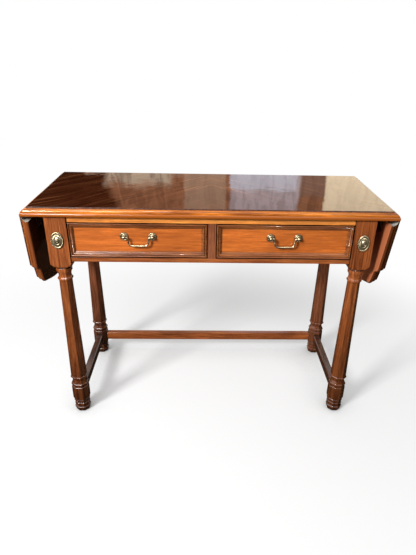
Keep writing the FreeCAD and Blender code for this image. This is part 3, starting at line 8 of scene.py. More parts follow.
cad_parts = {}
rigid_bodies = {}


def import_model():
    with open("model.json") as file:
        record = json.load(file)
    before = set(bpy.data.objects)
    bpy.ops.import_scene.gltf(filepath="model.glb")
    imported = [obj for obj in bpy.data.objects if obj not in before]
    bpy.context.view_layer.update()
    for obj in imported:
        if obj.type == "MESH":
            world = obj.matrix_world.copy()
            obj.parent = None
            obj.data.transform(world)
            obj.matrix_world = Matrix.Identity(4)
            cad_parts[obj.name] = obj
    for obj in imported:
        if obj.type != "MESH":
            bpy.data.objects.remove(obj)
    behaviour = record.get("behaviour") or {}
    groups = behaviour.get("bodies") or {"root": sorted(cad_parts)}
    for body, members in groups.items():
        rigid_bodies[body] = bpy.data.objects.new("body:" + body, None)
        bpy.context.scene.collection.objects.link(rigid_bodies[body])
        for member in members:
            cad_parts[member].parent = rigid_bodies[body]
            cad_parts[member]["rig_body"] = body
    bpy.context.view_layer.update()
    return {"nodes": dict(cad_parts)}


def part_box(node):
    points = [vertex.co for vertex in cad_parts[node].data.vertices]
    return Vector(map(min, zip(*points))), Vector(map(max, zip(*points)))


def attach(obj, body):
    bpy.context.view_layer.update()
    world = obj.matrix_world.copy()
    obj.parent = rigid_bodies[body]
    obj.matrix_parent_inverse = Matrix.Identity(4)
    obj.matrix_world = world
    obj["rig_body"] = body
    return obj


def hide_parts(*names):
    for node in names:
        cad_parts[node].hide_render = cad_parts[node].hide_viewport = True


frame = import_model()

bl_info = {
    "name": "Drop-Leaf Console Table",
    "version": (1, 0, 0),
    "blender": (4, 5, 0),
    "location": "3D View > Sidebar > Console Table",
    "description": "Mahogany, brass pulls and studio for a drop-leaf console table",
    "category": "Object",
}

SIDES = {"left": -1, "right": 1}

# Places on the table that the finishes measure from, in metres
TOP_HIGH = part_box("top_board")[1]
PULL_POSTS_LOW, PULL_POSTS_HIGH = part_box("right_pull_posts")
PULL_ROSETTES_LOW, PULL_ROSETTES_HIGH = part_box("right_pull_rosettes")
BAIL_LOW, BAIL_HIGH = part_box("right_pull_bail")
PINS_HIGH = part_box("hinge_pins")[1]
PIN_RADIUS = 0.0015
HINGE_X = PINS_HIGH.x - PIN_RADIUS
HINGE_Z = PINS_HIGH.z - PIN_RADIUS

# How far each hanging leaf leans in under the table
LEAF_LEANS = {"left": math.radians(2.5), "right": math.radians(6.5)}

# Points of a mesh that are nearer than this are one point, in metres
WELD = 1e-5

# Turns between two faces in degrees: under the first an edge is flat, and over the others it is sharp
FLAT_ANGLE = 0.5
SHARP_ANGLE = 30.0
TURNED_SHARP_ANGLE = 40.0

# Faces round the wire of a handle
WIRE_SIDES = 20


def colour_property(name, description, default):
    """Linear colour that the sidebar shows as a swatch."""
    return bpy.props.FloatVectorProperty(
        name=name, description=description, subtype="COLOR", size=3, min=0, max=1, default=default)


def length_property(name, description, default):
    """Length in metres, down to a hundredth of a millimetre."""
    return bpy.props.FloatProperty(
        name=name, description=description, default=default, min=0.0, unit="LENGTH", precision=5)


def power_property(name, description, default):
    """Power of a lamp in watts."""
    return bpy.props.FloatProperty(name=name, description=description, default=default, min=0.0, unit="POWER")


class TableWood(bpy.types.PropertyGroup):
    """Colours and gloss of the table's woods."""
    case: colour_property("Case", "Mahogany of legs and aprons", (0.36, 0.098, 0.024))
    # Painted light: the rail's colour is lighter to make up for the shade under the top
    rails: colour_property("Rails", "Mahogany of the rail over the drawers", (0.90, 0.310, 0.058))
    drawers: colour_property("Drawer fronts", "Mahogany of the drawer panels", (0.60, 0.150, 0.024))
    moulding: colour_property("Mouldings", "Mouldings on the drawers and leaves", (0.36, 0.110, 0.028))
    edges: colour_property("Edges", "Solid edge moulding of the top", (0.66, 0.190, 0.018))
    veneer: colour_property("Veneer", "Dark crotch veneer on top and leaves", (0.078, 0.019, 0.007))
    # Painted pale reflection lying in the hollow of the rule joint
    painted_joint_sheen: colour_property("Bare joint", "Worn and dusty hollow of the rule joint", (0.50, 0.48, 0.42))
    figure: colour_property("Figure", "Pale rays in the crotch veneer", (0.42, 0.150, 0.055))
    back: colour_property("Back frame", "Back legs, back apron and side stretchers", (0.25, 0.078, 0.032))
    pale: colour_property("Drawer wood", "Pale wood of drawer sides, runners and blocks", (0.46, 0.29, 0.15))


class TableBrass(bpy.types.PropertyGroup):
    """Colours of pulls, rosettes and hinges."""
    bright: colour_property("Rubbed brass", "Brass on the raised and handled places", (0.55, 0.46, 0.29))
    dull: colour_property("Old lacquer", "Dark lacquer left in the hollows", (0.040, 0.028, 0.014))
    hinge: colour_property("Hinge brass", "Plain brass of hinges and stays", (0.52, 0.38, 0.17))
    steel: colour_property("Screw steel", "Grey steel of the screws", (0.30, 0.29, 0.28))


class TableEdges(bpy.types.PropertyGroup):
    """Widths of the rounding on the edges."""
    turned: length_property("Legs", "Rounding on the facets of the legs", 0.0007)
    straight: length_property("Rails", "Rounding on rails, boards and stretchers", 0.0009)
    moulded: length_property("Mouldings", "Rounding on the fine steps of the mouldings", 0.0002)
    rim: length_property("Top rim", "Rounding round the upper face of the top", 0.0006)
    metal: length_property("Metal", "Rounding on hinges and stays", 0.00025)
    cast: length_property("Pull posts", "Rounding on the posts of the handles", 0.00015)


class TableStudio(bpy.types.PropertyGroup):
    """Lamps, floor and camera."""
    key_power: power_property("Key lamp", "Power of the large lamp at the left front", 300.0)
    spark_power: power_property("High lamp", "Power of the lamp high over the front", 12.0)
    ambient: bpy.props.FloatProperty(
        name="Room light", description="Level of the light from all round", default=0.16, min=0.0, max=2.0)
    floor_size: length_property("Floor", "Length of each side of the floor", 14.0)


# Mesh tools


def linked(name, data):
    """New object in the scene."""
    item = bpy.data.objects.new(name, data)
    bpy.context.scene.collection.objects.link(item)
    return item


def new_piece(name, vertices, faces, smooth_angle=SHARP_ANGLE):
    """Links a mesh object with smooth faces and sharp edges over an angle."""
    mesh = bpy.data.meshes.new(name)
    mesh.from_pydata(vertices, [], faces)
    mesh.validate()
    piece = linked(name, mesh)
    mesh.shade_smooth()
    mesh.set_sharp_from_angle(angle=math.radians(smooth_angle))
    return piece


def finished(piece, material, body):
    """Gives a piece its finish and the body that it rides on."""
    piece.data.materials.clear()
    piece.data.materials.append(material)
    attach(piece, body)


def eased(node, material, width, angle=SHARP_ANGLE, rim=None):
    """Copy of a CAD node with rounded edges, standing for the node; the rim is the rounding at its top."""
    source = frame["nodes"][node]
    widest = rim or width
    turn = math.radians(angle)
    welded = bmesh.new()
    welded.from_mesh(source.data)
    bmesh.ops.remove_doubles(welded, verts=welded.verts[:], dist=WELD)
    bmesh.ops.dissolve_limit(
        welded, angle_limit=math.radians(FLAT_ANGLE), verts=welded.verts[:], edges=welded.edges[:])
    height = max(vertex.co.z for vertex in welded.verts)
    weights = welded.edges.layers.float.new("bevel_weight_edge")
    for edge in welded.edges:
        if len(edge.link_faces) == 2 and edge.calc_face_angle() > turn:
            on_rim = all(height - vertex.co.z < WELD for vertex in edge.verts)
            edge[weights] = 1.0 if on_rim else width / widest
    piece = new_piece(node + "_eased", [], [], angle)
    welded.to_mesh(piece.data)
    welded.free()
    piece.data.shade_smooth()
    piece.data.set_sharp_from_angle(angle=turn)
    bevel = piece.modifiers.new("Rounded edges", "BEVEL")
    bevel.limit_method = "WEIGHT"
    bevel.width = widest
    bevel.segments = 1 if rim else 2
    bevel.use_clamp_overlap = False
    bevel.harden_normals = not rim
    rounded = bpy.data.meshes.new_from_object(piece.evaluated_get(bpy.context.evaluated_depsgraph_get()))
    if rim:
        rounded.set_sharp_from_angle(angle=turn)
    flat = piece.data
    piece.modifiers.clear()
    piece.data = rounded
    bpy.data.meshes.remove(flat)
    finished(piece, material, source["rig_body"])
    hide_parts(node)
    return piece


def painted(node, material):
    """A CAD node that keeps its own mesh and gets a finish."""
    slots = frame["nodes"][node].data.materials
    slots.clear()
    slots.append(material)


def bridged(rings):
    """Closed skin over rings of equal length, with a face on each end."""
    count = len(rings[0])
    vertices = [point for ring in rings for point in ring]
    faces = []
    for row in range(len(rings) - 1):
        for i in range(count):
            j = (i + 1) % count
            first = row * count
            faces.append((first + i, first + j, first + count + j, first + count + i))
    faces.append(tuple(reversed(range(count))))
    last = (len(rings) - 1) * count
    faces.append(tuple(range(last, last + count)))
    return vertices, faces


def joined(name, parts):
    """One object from several lists of points and faces."""
    vertices = []
    faces = []
    for points, polygons in parts:
        first = len(vertices)
        vertices += points
        faces += [tuple(first + i for i in polygon) for polygon in polygons]
    return new_piece(name, vertices, faces, TURNED_SHARP_ANGLE)


def tube(points, radii):
    """Closed tube of changing radius along points in a plane across Y."""
    rings = []
    for i, point in enumerate(points):
        ahead = points[min(i + 1, len(points) - 1)]
        behind = points[max(i - 1, 0)]
        along = (ahead - behind).normalized()
        across = along.cross(Vector((0, 1, 0))).normalized()
        ring = []
        for k in range(WIRE_SIDES):
            turn = math.tau * k / WIRE_SIDES
            ring.append(point + radii[i] * (math.cos(turn) * across + math.sin(turn) * Vector((0, 1, 0))))
        rings.append(ring)
    return bridged(rings)


def turned_plate(centre, profile, count, width=1.0, height=1.0, wave=None):
    """Plate turned round an axis along Y; the profile gives radii and how far each stands forward."""
    rings = []
    for radius, rise in profile:
        ring = []
        for k in range(count):
            turn = math.tau * k / count
            lift = rise + (wave(radius, turn) if wave else 0.0)
            ring.append(centre + Vector((
                radius * width * math.cos(turn), -lift, radius * height * math.sin(turn))))
        rings.append(ring)
    return bridged(rings)


def bead(centre, radius):
    """Small round bead."""
    ball = bmesh.new()
    bmesh.ops.create_icosphere(ball, subdivisions=2, radius=radius)
    points = [centre + vertex.co for vertex in ball.verts]
    faces = [tuple(vertex.index for vertex in face.verts) for face in ball.faces]
    ball.free()
    return points, faces


def bead_ring(centre, across, up, rise, count, radius):
    """Beads on an oval round a centre, standing forward by the rise."""
    turns = [math.tau * k / count for k in range(count)]
    return [bead(centre + Vector((across * math.cos(turn), -rise, up * math.sin(turn))), radius)
            for turn in turns]


def rounded_line(corners, radii, step):
    """Evenly spaced points on a line whose corners are rounded."""
    points = []
    previous = corners[0]
    for i in range(1, len(corners) - 1):
        corner = corners[i]
        back = (corners[i - 1] - corner).normalized()
        onward = (corners[i + 1] - corner).normalized()
        half = back.angle(onward) / 2
        reach = radii[i - 1] / math.tan(half)
        start = corner + back * reach
        end = corner + onward * reach
        centre = corner + (back + onward).normalized() * (radii[i - 1] / math.sin(half))
        points += straight(previous, start, step)
        points += arc(centre, start, end, math.pi - 2 * half, radii[i - 1], step)
        previous = end
    points += straight(previous, corners[-1], step)
    points.append(corners[-1])
    return points


def straight(start, end, step):
    """Points from start up to but not at the end."""
    count = max(1, round((end - start).length / step))
    return [start.lerp(end, k / count) for k in range(count)]


def arc(centre, start, end, turn, radius, step):
    """Points on an arc from start up to but not at its end."""
    count = max(2, round(radius * turn / step))
    first = (start - centre).normalized()
    axis = (start - centre).cross(end - centre).normalized()
    return [centre + radius * (Matrix.Rotation(turn * k / count, 3, axis) @ first) for k in range(count)]


# Material tools


# Layers of the mahogany: scale along and across the grain, detail, roughness and distortion
GRAIN = {
    "broad": (1.6, 14.0, 3.0, 0.55, 0.5),
    "streaks": (6.0, 150.0, 5.0, 0.66, 0.6),
    "lines": (10.0, 420.0, 3.0, 0.6, 0.3),
    "fibres": (26.0, 900.0, 3.0, 0.6, 0.2),
    "patches": (5.0, 11.0, 3.0, 0.55, 0.8),
    "pores": (130.0, 2400.0, 2.0, 0.5, 0.0),
}

# Shares of the broad layer and the streaks in the tone, and the tones of deep, plain and light wood
TONE_SHARES = (0.34, 0.66)
TONES = (0.38, 0.51, 0.62)

# Share of each channel that deep wood loses and light wood gains, that the bead keeps as painted shade, and
# that an outer edge is scaled by as rubbed wear and painted highlight
DEEP_LOSS = (0.62, 0.70, 0.72)
LIGHT_GAIN = (0.30, 0.44, 0.48)
BEAD_PAINTED_SHADE_SHARES = (0.52, 0.46, 0.55)
EDGE_WEAR_AND_HIGHLIGHT_SHARES = (1.5, 1.7, 1.8)

# Depths under the upper face of the top where one colour gives way to the next, in metres: face, solid edge,
# bead in painted shade, and underside
FACE_DEPTH = (0.0036, 0.0044)
BEAD_DEPTH = (0.0150, 0.0175)
UNDER_DEPTH = (0.0255, 0.0262)

# Distance from the hinge line where the hollow of the rule joint, with its painted pale reflection, ends
HOLLOW_REACH = (0.0188, 0.0190)

# Angle between the rays of the veneer and the length of the top, and how far the rays wander in metres
FLAME_TURN = math.radians(47.0)
FLAME_REACH = 0.06

# Widths, in metres, of the joints, grooves and recesses darkened as painted shade, of the painted shadow on
# the floor under the table, and of the outer edges made pale as rubbed wear and painted highlight
JOINT = 0.0035
VENEER_GROOVE = 0.006
GROOVE = 0.010
BLOCK_GROOVE = 0.012
RECESS = 0.035
UNDER_TABLE = 0.18
EDGE_WEAR_AND_HIGHLIGHT_WIDTH = 0.0018

# Heights between which a leg goes from painted shade near the floor to its own colour, in metres
LEG_SHADE = (0.05, 0.45)

# Depths of the relief on woods and metals, in metres
FILLED_PORES = 0.00002
PORES = 0.00005
OPEN_PORES = 0.0001
RIPPLES = 0.0003
SCRATCHES = 0.00004
CAST_SKIN = 0.00005


def scaled(base, *shares):
    """Colour times one share, or times one for each channel, kept between nearly black and white."""
    shares = shares if len(shares) == 3 else shares * 3
    return tuple(min(1.0, max(0.002, channel * share)) for channel, share in zip(base, shares))


class Recipe:
    """Node tree of a material, or of a world where one is given."""

    def __init__(self, name, world=None):
        self.owner = world or bpy.data.materials.new(name)
        self.owner.use_nodes = True
        self.tree = self.owner.node_tree
        self.tree.nodes.clear()
        self.output = self.tree.nodes.new("ShaderNodeOutputWorld" if world else "ShaderNodeOutputMaterial")

    def feed(self, socket, value):
        """Links an output to a socket, or writes a value on it."""
        if isinstance(value, bpy.types.NodeSocket):
            self.tree.links.new(value, socket)
        elif socket.type == "RGBA" and len(value) == 3:
            socket.default_value = (*value, 1.0)
        else:
            socket.default_value = value

    def add(self, kind, inputs, **settings):
        """New shader node with its settings and inputs."""
        node = self.tree.nodes.new("ShaderNode" + kind)
        for name, value in settings.items():
            setattr(node, name, value)
        for name, value in inputs.items():
            self.feed(node.inputs[name], value)
        return node

    def place(self):
        """Position in the table's own frame, which rides with each body."""
        return self.add("TexCoord", {}).outputs["Object"]

    def sum(self, operation, first, second=0.0):
        """Math on two values."""
        return self.add("Math", {0: first, 1: second}, operation=operation).outputs[0]

    def weighed(self, first, share, second, other):
        """First value times its share plus second value times the other share."""
        return self.sum("ADD", self.sum("MULTIPLY", first, share), self.sum("MULTIPLY", second, other))

    def vector(self, operation, inputs):
        """Math on vectors."""
        return self.add("VectorMath", inputs, operation=operation).outputs

    def point(self, x, y, z):
        """Vector from its three parts."""
        return self.add("CombineXYZ", {"X": x, "Y": y, "Z": z}).outputs[0]

    def parts(self, vector):
        """The three parts of a vector."""
        return self.add("SeparateXYZ", {"Vector": vector}).outputs

    def range(self, value, low, high, bottom=0.0, top=1.0):
        """Smooth step from bottom to top as the value goes from low to high."""
        inputs = {"Value": value, "From Min": low, "From Max": high, "To Min": bottom, "To Max": top}
        return self.add("MapRange", inputs, interpolation_type="SMOOTHSTEP").outputs[0]

    def mix(self, factor, first, second, blend="MIX"):
        """Mixes two colours."""
        inputs = {0: factor, 6: first, 7: second}
        return self.add("Mix", inputs, data_type="RGBA", blend_type=blend).outputs[2]

    def times(self, colour, level):
        """Colour multiplied by a level."""
        grey = self.add("CombineColor", {"Red": level, "Green": level, "Blue": level}).outputs[0]
        return self.mix(1.0, colour, grey, "MULTIPLY")

    def noise(self, vector, scale, detail=3.0, roughness=0.5, distortion=0.0):
        """Fractal noise."""
        inputs = {"Vector": vector, "Scale": scale, "Detail": detail, "Roughness": roughness,
                  "Distortion": distortion}
        return self.add("TexNoise", inputs).outputs[0]

    def stretched(self, vector, scale, turn=(0.0, 0.0, 0.0)):
        """Vector turned and scaled on each axis."""
        return self.add("Mapping", {"Vector": vector, "Rotation": turn, "Scale": scale}).outputs[0]

    def warped(self, vector, scale, detail, reach):
        """Vector pushed about by noise, up to the reach."""
        push = self.add("TexNoise", {"Vector": vector, "Scale": scale, "Detail": detail}).outputs["Color"]
        offset = self.vector("SCALE", {0: push, "Scale": reach})[0]
        return self.vector("ADD", {0: vector, 1: offset})[0]

    def hollows(self, distance, inside=False):
        """1 in the open, towards 0 in corners and grooves, or from inside at sharp outer edges."""
        return self.add("AmbientOcclusion", {"Distance": distance}, samples=8, inside=inside).outputs["AO"]

    def painted_shade_in_hollows(self, colour, reach, closed, open_level, deepest):
        """Colour that goes down to a share of itself in hollows about as narrow as the reach, as painted
        shade.
        """
        return self.times(colour, self.range(self.hollows(reach), closed, open_level, deepest, 1.0))

    def bump(self, height, strength, distance):
        """Normal of a fine relief."""
        return self.add("Bump", {"Strength": strength, "Distance": distance, "Height": height}).outputs[0]

    def seen(self):
        """1 for rays from the camera, mirrors and glass, and 0 for the rest."""
        rays = self.add("LightPath", {}).outputs
        either = self.sum("MAXIMUM", rays["Is Camera Ray"], rays["Is Glossy Ray"])
        return self.sum("MAXIMUM", either, rays["Is Transmission Ray"])

    def finish(self, shader):
        """Connects the surface and gives the finished material or world."""
        self.tree.links.new(shader.outputs[0], self.output.inputs["Surface"])
        return self.owner


def grain_scale(axis, along, across):
    """Scale that draws a texture out along one axis."""
    scale = [across, across, across]
    scale["xyz".index(axis)] = along
    return tuple(scale)


def grained(recipe, place, base, axis, contrast=1.0):
    """Mahogany colour with its grain along one axis, and the height of its pores."""
    layer = {}
    for name, (along, across, *texture) in GRAIN.items():
        layer[name] = recipe.noise(recipe.stretched(place, grain_scale(axis, along, across)), 1.0, *texture)
    deep = scaled(base, *(1.0 - loss * contrast for loss in DEEP_LOSS))
    light = scaled(base, *(1.0 + gain * contrast for gain in LIGHT_GAIN))
    tone = recipe.weighed(layer["broad"], TONE_SHARES[0], layer["streaks"], TONE_SHARES[1])
    colour = recipe.mix(recipe.range(tone, *TONES[:2]), deep, base)
    colour = recipe.mix(recipe.range(tone, *TONES[1:]), colour, light)
    colour = recipe.times(colour, recipe.range(layer["patches"], 0.36, 0.64, 0.80, 1.13))
    colour = recipe.times(colour, recipe.range(layer["fibres"], 0.32, 0.64, 0.74, 1.10))
    colour = recipe.mix(recipe.range(layer["lines"], 0.40, 0.56, 0.62, 0.0), colour, deep)
    open_pores = recipe.range(layer["pores"], 0.60, 0.72)
    colour = recipe.mix(recipe.sum("MULTIPLY", open_pores, 0.55), colour, scaled(base, 0.30))
    return colour, recipe.weighed(layer["fibres"], 0.4, open_pores, -1.0)


def polished(recipe, colour, height, roughness=0.32, coat=1.0, coat_roughness=0.10, relief=PORES, **extra):
    """Wood under a clear polish."""
    rubbed = recipe.range(height, -0.5, 0.3, roughness + 0.10, roughness)
    inputs = {"Base Color": colour, "Roughness": rubbed, "Normal": recipe.bump(height, 0.35, relief),
              "IOR": 1.5, "Specular IOR Level": 0.2, "Coat Weight": coat, "Coat Roughness": coat_roughness,
              "Coat IOR": 1.5, **extra}
    return recipe.finish(recipe.add("BsdfPrincipled", inputs))


def solid_wood(name, base, axis, groove=GROOVE, deepest=0.30, shade=0.5, low=1.0, contrast=1.0, edge_wear_and_highlight=0.35):
    """Mahogany with painted shade in grooves, joints and recesses and towards the floor, and outer edges
    paler as rubbed wear and painted highlight.
    """
    recipe = Recipe(name)
    place = recipe.place()
    colour, height = grained(recipe, place, base, axis, contrast)
    # Painted shade in grooves, joints and recesses
    colour = recipe.painted_shade_in_hollows(colour, groove, 0.45, 0.95, deepest)
    colour = recipe.painted_shade_in_hollows(colour, JOINT, 0.45, 0.92, 0.08)
    colour = recipe.painted_shade_in_hollows(colour, RECESS, 0.25, 0.85, shade)
    # Painted shade, darker towards the floor
    if low < 1.0:
        colour = recipe.times(colour, recipe.range(recipe.parts(place)["Z"], *LEG_SHADE, low, 1.0))
    # Outer edges paler: rubbed wear and painted highlight
    edge_wear_and_highlight_mask = recipe.range(recipe.hollows(EDGE_WEAR_AND_HIGHLIGHT_WIDTH, True), 0.35, 0.75, edge_wear_and_highlight, 0.0)
    colour = recipe.mix(edge_wear_and_highlight_mask, colour, scaled(base, *EDGE_WEAR_AND_HIGHLIGHT_SHARES))
    return polished(recipe, colour, height)


def plain_wood(name, base, axis):
    """Unpolished wood of drawer sides and blocks."""
    recipe = Recipe(name)
    colour, height = grained(recipe, recipe.place(), base, axis, 0.5)
    # Painted shade in the hollows of the drawer wood
    colour = recipe.painted_shade_in_hollows(colour, BLOCK_GROOVE, 0.2, 0.9, 0.55)
    return polished(recipe, colour, height, 0.55, 0.0, 0.3, OPEN_PORES)


def unfolded(recipe, place, lean):
    """Distance out from the hinge line, place across and rise of a point, with a leaf swung level."""
    parts = recipe.parts(place)
    out = recipe.sum("SUBTRACT", recipe.sum("ABSOLUTE", parts["X"]), HINGE_X)
    rise = recipe.sum("SUBTRACT", parts["Z"], HINGE_Z)
    if lean is None:
        return out, parts["Y"], rise
    turn = math.pi / 2 + lean
    level_out = recipe.weighed(out, math.cos(turn), rise, -math.sin(turn))
    level_rise = recipe.weighed(out, math.sin(turn), rise, math.cos(turn))
    return level_out, parts["Y"], level_rise


def crotch_veneer(recipe, plan, wood):
    """Dark veneer whose pale rays meet in the middle of the top, and the height of its pores."""
    flame = recipe.warped(plan, 3.0, 2.0, FLAME_REACH)
    flame = recipe.stretched(flame, (1.0, 1.0, 1.0), (0.0, 0.0, FLAME_TURN))
    colour, height = grained(recipe, flame, wood.veneer, "x", 0.95)
    rays = recipe.noise(recipe.stretched(flame, (2.2, 85.0, 1.0)), 1.0, 3.0, 0.6, 1.2)
    clouds = recipe.noise(recipe.stretched(flame, (2.0, 7.0, 1.0)), 1.0, 3.0, 0.6, 1.0)
    drawn = recipe.sum("MULTIPLY", recipe.range(rays, 0.50, 0.68, 0.0, 0.75),
                       recipe.range(clouds, 0.40, 0.60, 0.15, 1.0))
    return recipe.mix(drawn, colour, wood.figure), height


def moulded_edge(recipe, own, depth, tone, under):
    """Solid mahogany of the moulding, with painted shade on the bead, and the height of its pores."""
    colour, height = grained(recipe, own, tone, "x")
    colour = recipe.mix(recipe.range(depth, *BEAD_DEPTH), colour, scaled(tone, *BEAD_PAINTED_SHADE_SHARES))
    return recipe.mix(recipe.range(depth, *UNDER_DEPTH), colour, under), height


def veneered(name, wood, lean=None, edge_painted_light_share=1.0, under_painted_light_share=1.0):
    """Top, or a hanging leaf: matched crotch veneer on the face and solid mahogany on the moulded edge; two
    shares scale a leaf's edge and underside as painted light and shade.
    """
    recipe = Recipe(name)
    place = recipe.place()
    out, across, rise = unfolded(recipe, place, lean)
    along = recipe.sum("ADD", out, HINGE_X)
    depth = recipe.sum("SUBTRACT", TOP_HIGH.z - HINGE_Z, rise)
    face, face_height = crotch_veneer(recipe, recipe.point(along, across, 0.0), wood)
    # A leaf's edge and underside are scaled by shares of painted light and shade
    tone = scaled(wood.edges if lean is None else wood.moulding, edge_painted_light_share)
    own = recipe.point(along, across, rise)
    edge, edge_height = moulded_edge(recipe, own, depth, tone, scaled(wood.back, under_painted_light_share))
    solid = recipe.range(depth, *FACE_DEPTH)
    # Painted shade in the grooves of the moulded edge
    colour = recipe.painted_shade_in_hollows(recipe.mix(solid, face, edge), VENEER_GROOVE, 0.35, 0.85, 0.25)
    if lean is not None:
        # Painted pale reflection in the hollow of the rule joint
        radius = recipe.vector("LENGTH", {0: recipe.point(out, 0.0, rise)})["Value"]
        colour = recipe.mix(recipe.range(radius, *HOLLOW_REACH, 1.0, 0.0), colour, wood.painted_joint_sheen)
    height = recipe.add("Mix", {0: solid, 2: face_height, 3: edge_height}, data_type="FLOAT").outputs[0]
    wavy = recipe.bump(recipe.noise(place, 20.0, 2.0, 0.5), 0.6, RIPPLES)
    mirror = {"Specular IOR Level": 0.0, "Coat Normal": wavy}
    return polished(recipe, colour, height, 0.25, 1.0, 0.02, FILLED_PORES, **mirror)


def metal(recipe, colour, rough, relief):
    """Bare metal."""
    inputs = {"Base Color": colour, "Metallic": 1.0, "Roughness": rough, "Normal": relief}
    return recipe.finish(recipe.add("BsdfPrincipled", inputs))


def old_brass(name, bright, dull, groove, roughness):
    """Brass rubbed bright where it stands out, with dark lacquer in its hollows."""
    recipe = Recipe(name)
    place = recipe.place()
    stain = recipe.noise(place, 160.0, 4.0, 0.6)
    fine = recipe.noise(place, 900.0, 3.0, 0.6)
    open_place = recipe.range(recipe.hollows(groove), 0.48, 0.98)
    rubbed = recipe.sum("MULTIPLY", open_place, recipe.range(stain, 0.28, 0.56, 0.66, 1.0))
    rough = recipe.sum("ADD", recipe.range(rubbed, 0.0, 1.0, 0.30, 0.0),
                       recipe.range(fine, 0.3, 0.7, roughness, roughness + 0.10))
    return metal(recipe, recipe.mix(rubbed, dull, bright), rough, recipe.bump(fine, 0.25, CAST_SKIN))


def machined(name, base, roughness):
    """Plain metal of hinges, stays and screws with fine scratches and stains."""
    recipe = Recipe(name)
    place = recipe.place()
    stain = recipe.noise(place, 90.0, 4.0, 0.6)
    scratches = recipe.noise(recipe.stretched(place, (300.0, 2600.0, 2600.0)), 1.0, 2.0, 0.5)
    colour = recipe.mix(recipe.range(stain, 0.32, 0.62), scaled(base, 0.45), base)
    rough = recipe.range(scratches, 0.3, 0.7, roughness, roughness + 0.18)
    return metal(recipe, colour, rough, recipe.bump(scratches, 0.3, SCRATCHES))


def kept(name, make):
    """The material of that name, made on its first use."""
    return bpy.data.materials.get(name) or make(name)


# Polished mahoganies: the colour of each, the share of it, and what sets the finish apart; low sets the
# painted shade towards the floor, and the shares of the back frame are painted light and shade
MAHOGANIES = {
    "legs": ("case", 1.0, {"low": 0.32}),
    "case": ("case", 1.0, {}),
    "rails": ("rails", 1.0, {"shade": 0.85, "contrast": 0.70}),
    "drawers": ("drawers", 1.0, {"shade": 0.75, "contrast": 0.50}),
    # Deep painted shade in the grooves of the mouldings
    "moulding": ("moulding", 1.0, {"groove": 0.018, "deepest": 0.02, "shade": 0.85, "edge_wear_and_highlight": 0.0}),
    "back": ("back", 1.0, {"low": 0.55}),
    # Painted light: the back frame's colour made lighter, as if lit from the right
    "lit back": ("back", 1.8, {"low": 0.40}),
    # Painted shade: the back frame's colour made darker for the side stretchers
    "sides": ("back", 0.36, {}),
}


def case_wood(part, axis):
    """Polished mahogany for a part of the case."""
    tone, share, settings = MAHOGANIES[part]
    base = scaled(getattr(bpy.context.scene.table_wood, tone), share)
    return kept(f"{part} mahogany {axis}", lambda name: solid_wood(name, base, axis, **settings))


def pale_wood(axis):
    """Unpolished drawer wood."""
    base = bpy.context.scene.table_wood.pale
    return kept(f"drawer wood {axis}", lambda name: plain_wood(name, base, axis))


def hardware(finish):
    """Metal for a kind of hardware."""
    brass = bpy.context.scene.table_brass
    old = (brass.bright, brass.dull)
    makers = {
        "pull brass": lambda name: old_brass(name, *old, 0.0060, 0.30),
        "rosette brass": lambda name: old_brass(name, *old, 0.0045, 0.36),
        "hinge brass": lambda name: machined(name, brass.hinge, 0.30),
        "screw steel": lambda name: machined(name, brass.steel, 0.35),
    }
    return kept(finish, makers[finish])


def mahogany(node, part, axis, edge="straight"):
    """Eases a piece of the case and gives it its polished mahogany."""
    width = getattr(bpy.context.scene.table_edges, edge)
    eased(node, case_wood(part, axis), width)


# Operators, one for each piece or group of like pieces


class TABLE_OT_top(bpy.types.Operator):
    """Finish the fixed top: matched veneer with a solid moulded edge"""
    bl_idname = "console_table.top"
    bl_label = "Top"

    def execute(self, context):
        material = veneered("top veneer", context.scene.table_wood)
        edges = context.scene.table_edges
        eased("top_board", material, edges.moulded, rim=edges.rim)
        return {"FINISHED"}


class TABLE_OT_leaves(bpy.types.Operator):
    """Finish both drop leaves"""
    bl_idname = "console_table.leaves"
    bl_label = "Leaves"

    # Shares of the moulding's colour on the edge and of the back frame's colour underneath, as painted light
    # and shade: the left underside and the right edge darker, the right underside lighter
    PAINTED_LIGHT_SHARES = {"left": (1.00, 0.18), "right": (0.50, 1.85)}

    def execute(self, context):
        for side, lean in LEAF_LEANS.items():
            material = veneered(f"{side} leaf veneer", context.scene.table_wood, lean, *self.PAINTED_LIGHT_SHARES[side])
            eased(f"{side}_leaf", material, context.scene.table_edges.moulded)
        return {"FINISHED"}


class TABLE_OT_legs(bpy.types.Operator):
    """Finish the four legs with their square posts"""
    bl_idname = "console_table.legs"
    bl_label = "Legs"

    def execute(self, context):
        # The right back leg takes the back frame's colour with painted light
        for side, back in (("left", "back"), ("right", "lit back")):
            mahogany(f"front_{side}_leg", "legs", "z", "turned")
            mahogany(f"back_{side}_leg", back, "z", "turned")
        return {"FINISHED"}


class TABLE_OT_stretchers(bpy.types.Operator):
    """Finish the low stretchers"""
    bl_idname = "console_table.stretchers"
    bl_label = "Stretchers"

    def execute(self, context):
        mahogany("back_stretcher", "case", "x")
        for side in SIDES:
            # Side stretchers take the back frame's colour in painted shade
            mahogany(f"{side}_stretcher", "sides", "y")
        return {"FINISHED"}


class TABLE_OT_rails(bpy.types.Operator):
    """Finish the rails round the drawers and the aprons"""
    bl_idname = "console_table.rails"
    bl_label = "Rails and aprons"

    def execute(self, context):
        mahogany("front_top_rail", "rails", "x")
        mahogany("front_bottom_rail", "case", "x")
        mahogany("centre_divider", "back", "z")
        mahogany("back_apron", "back", "x")
        for side in SIDES:
            mahogany(f"{side}_end_apron", "case", "y")
        return {"FINISHED"}


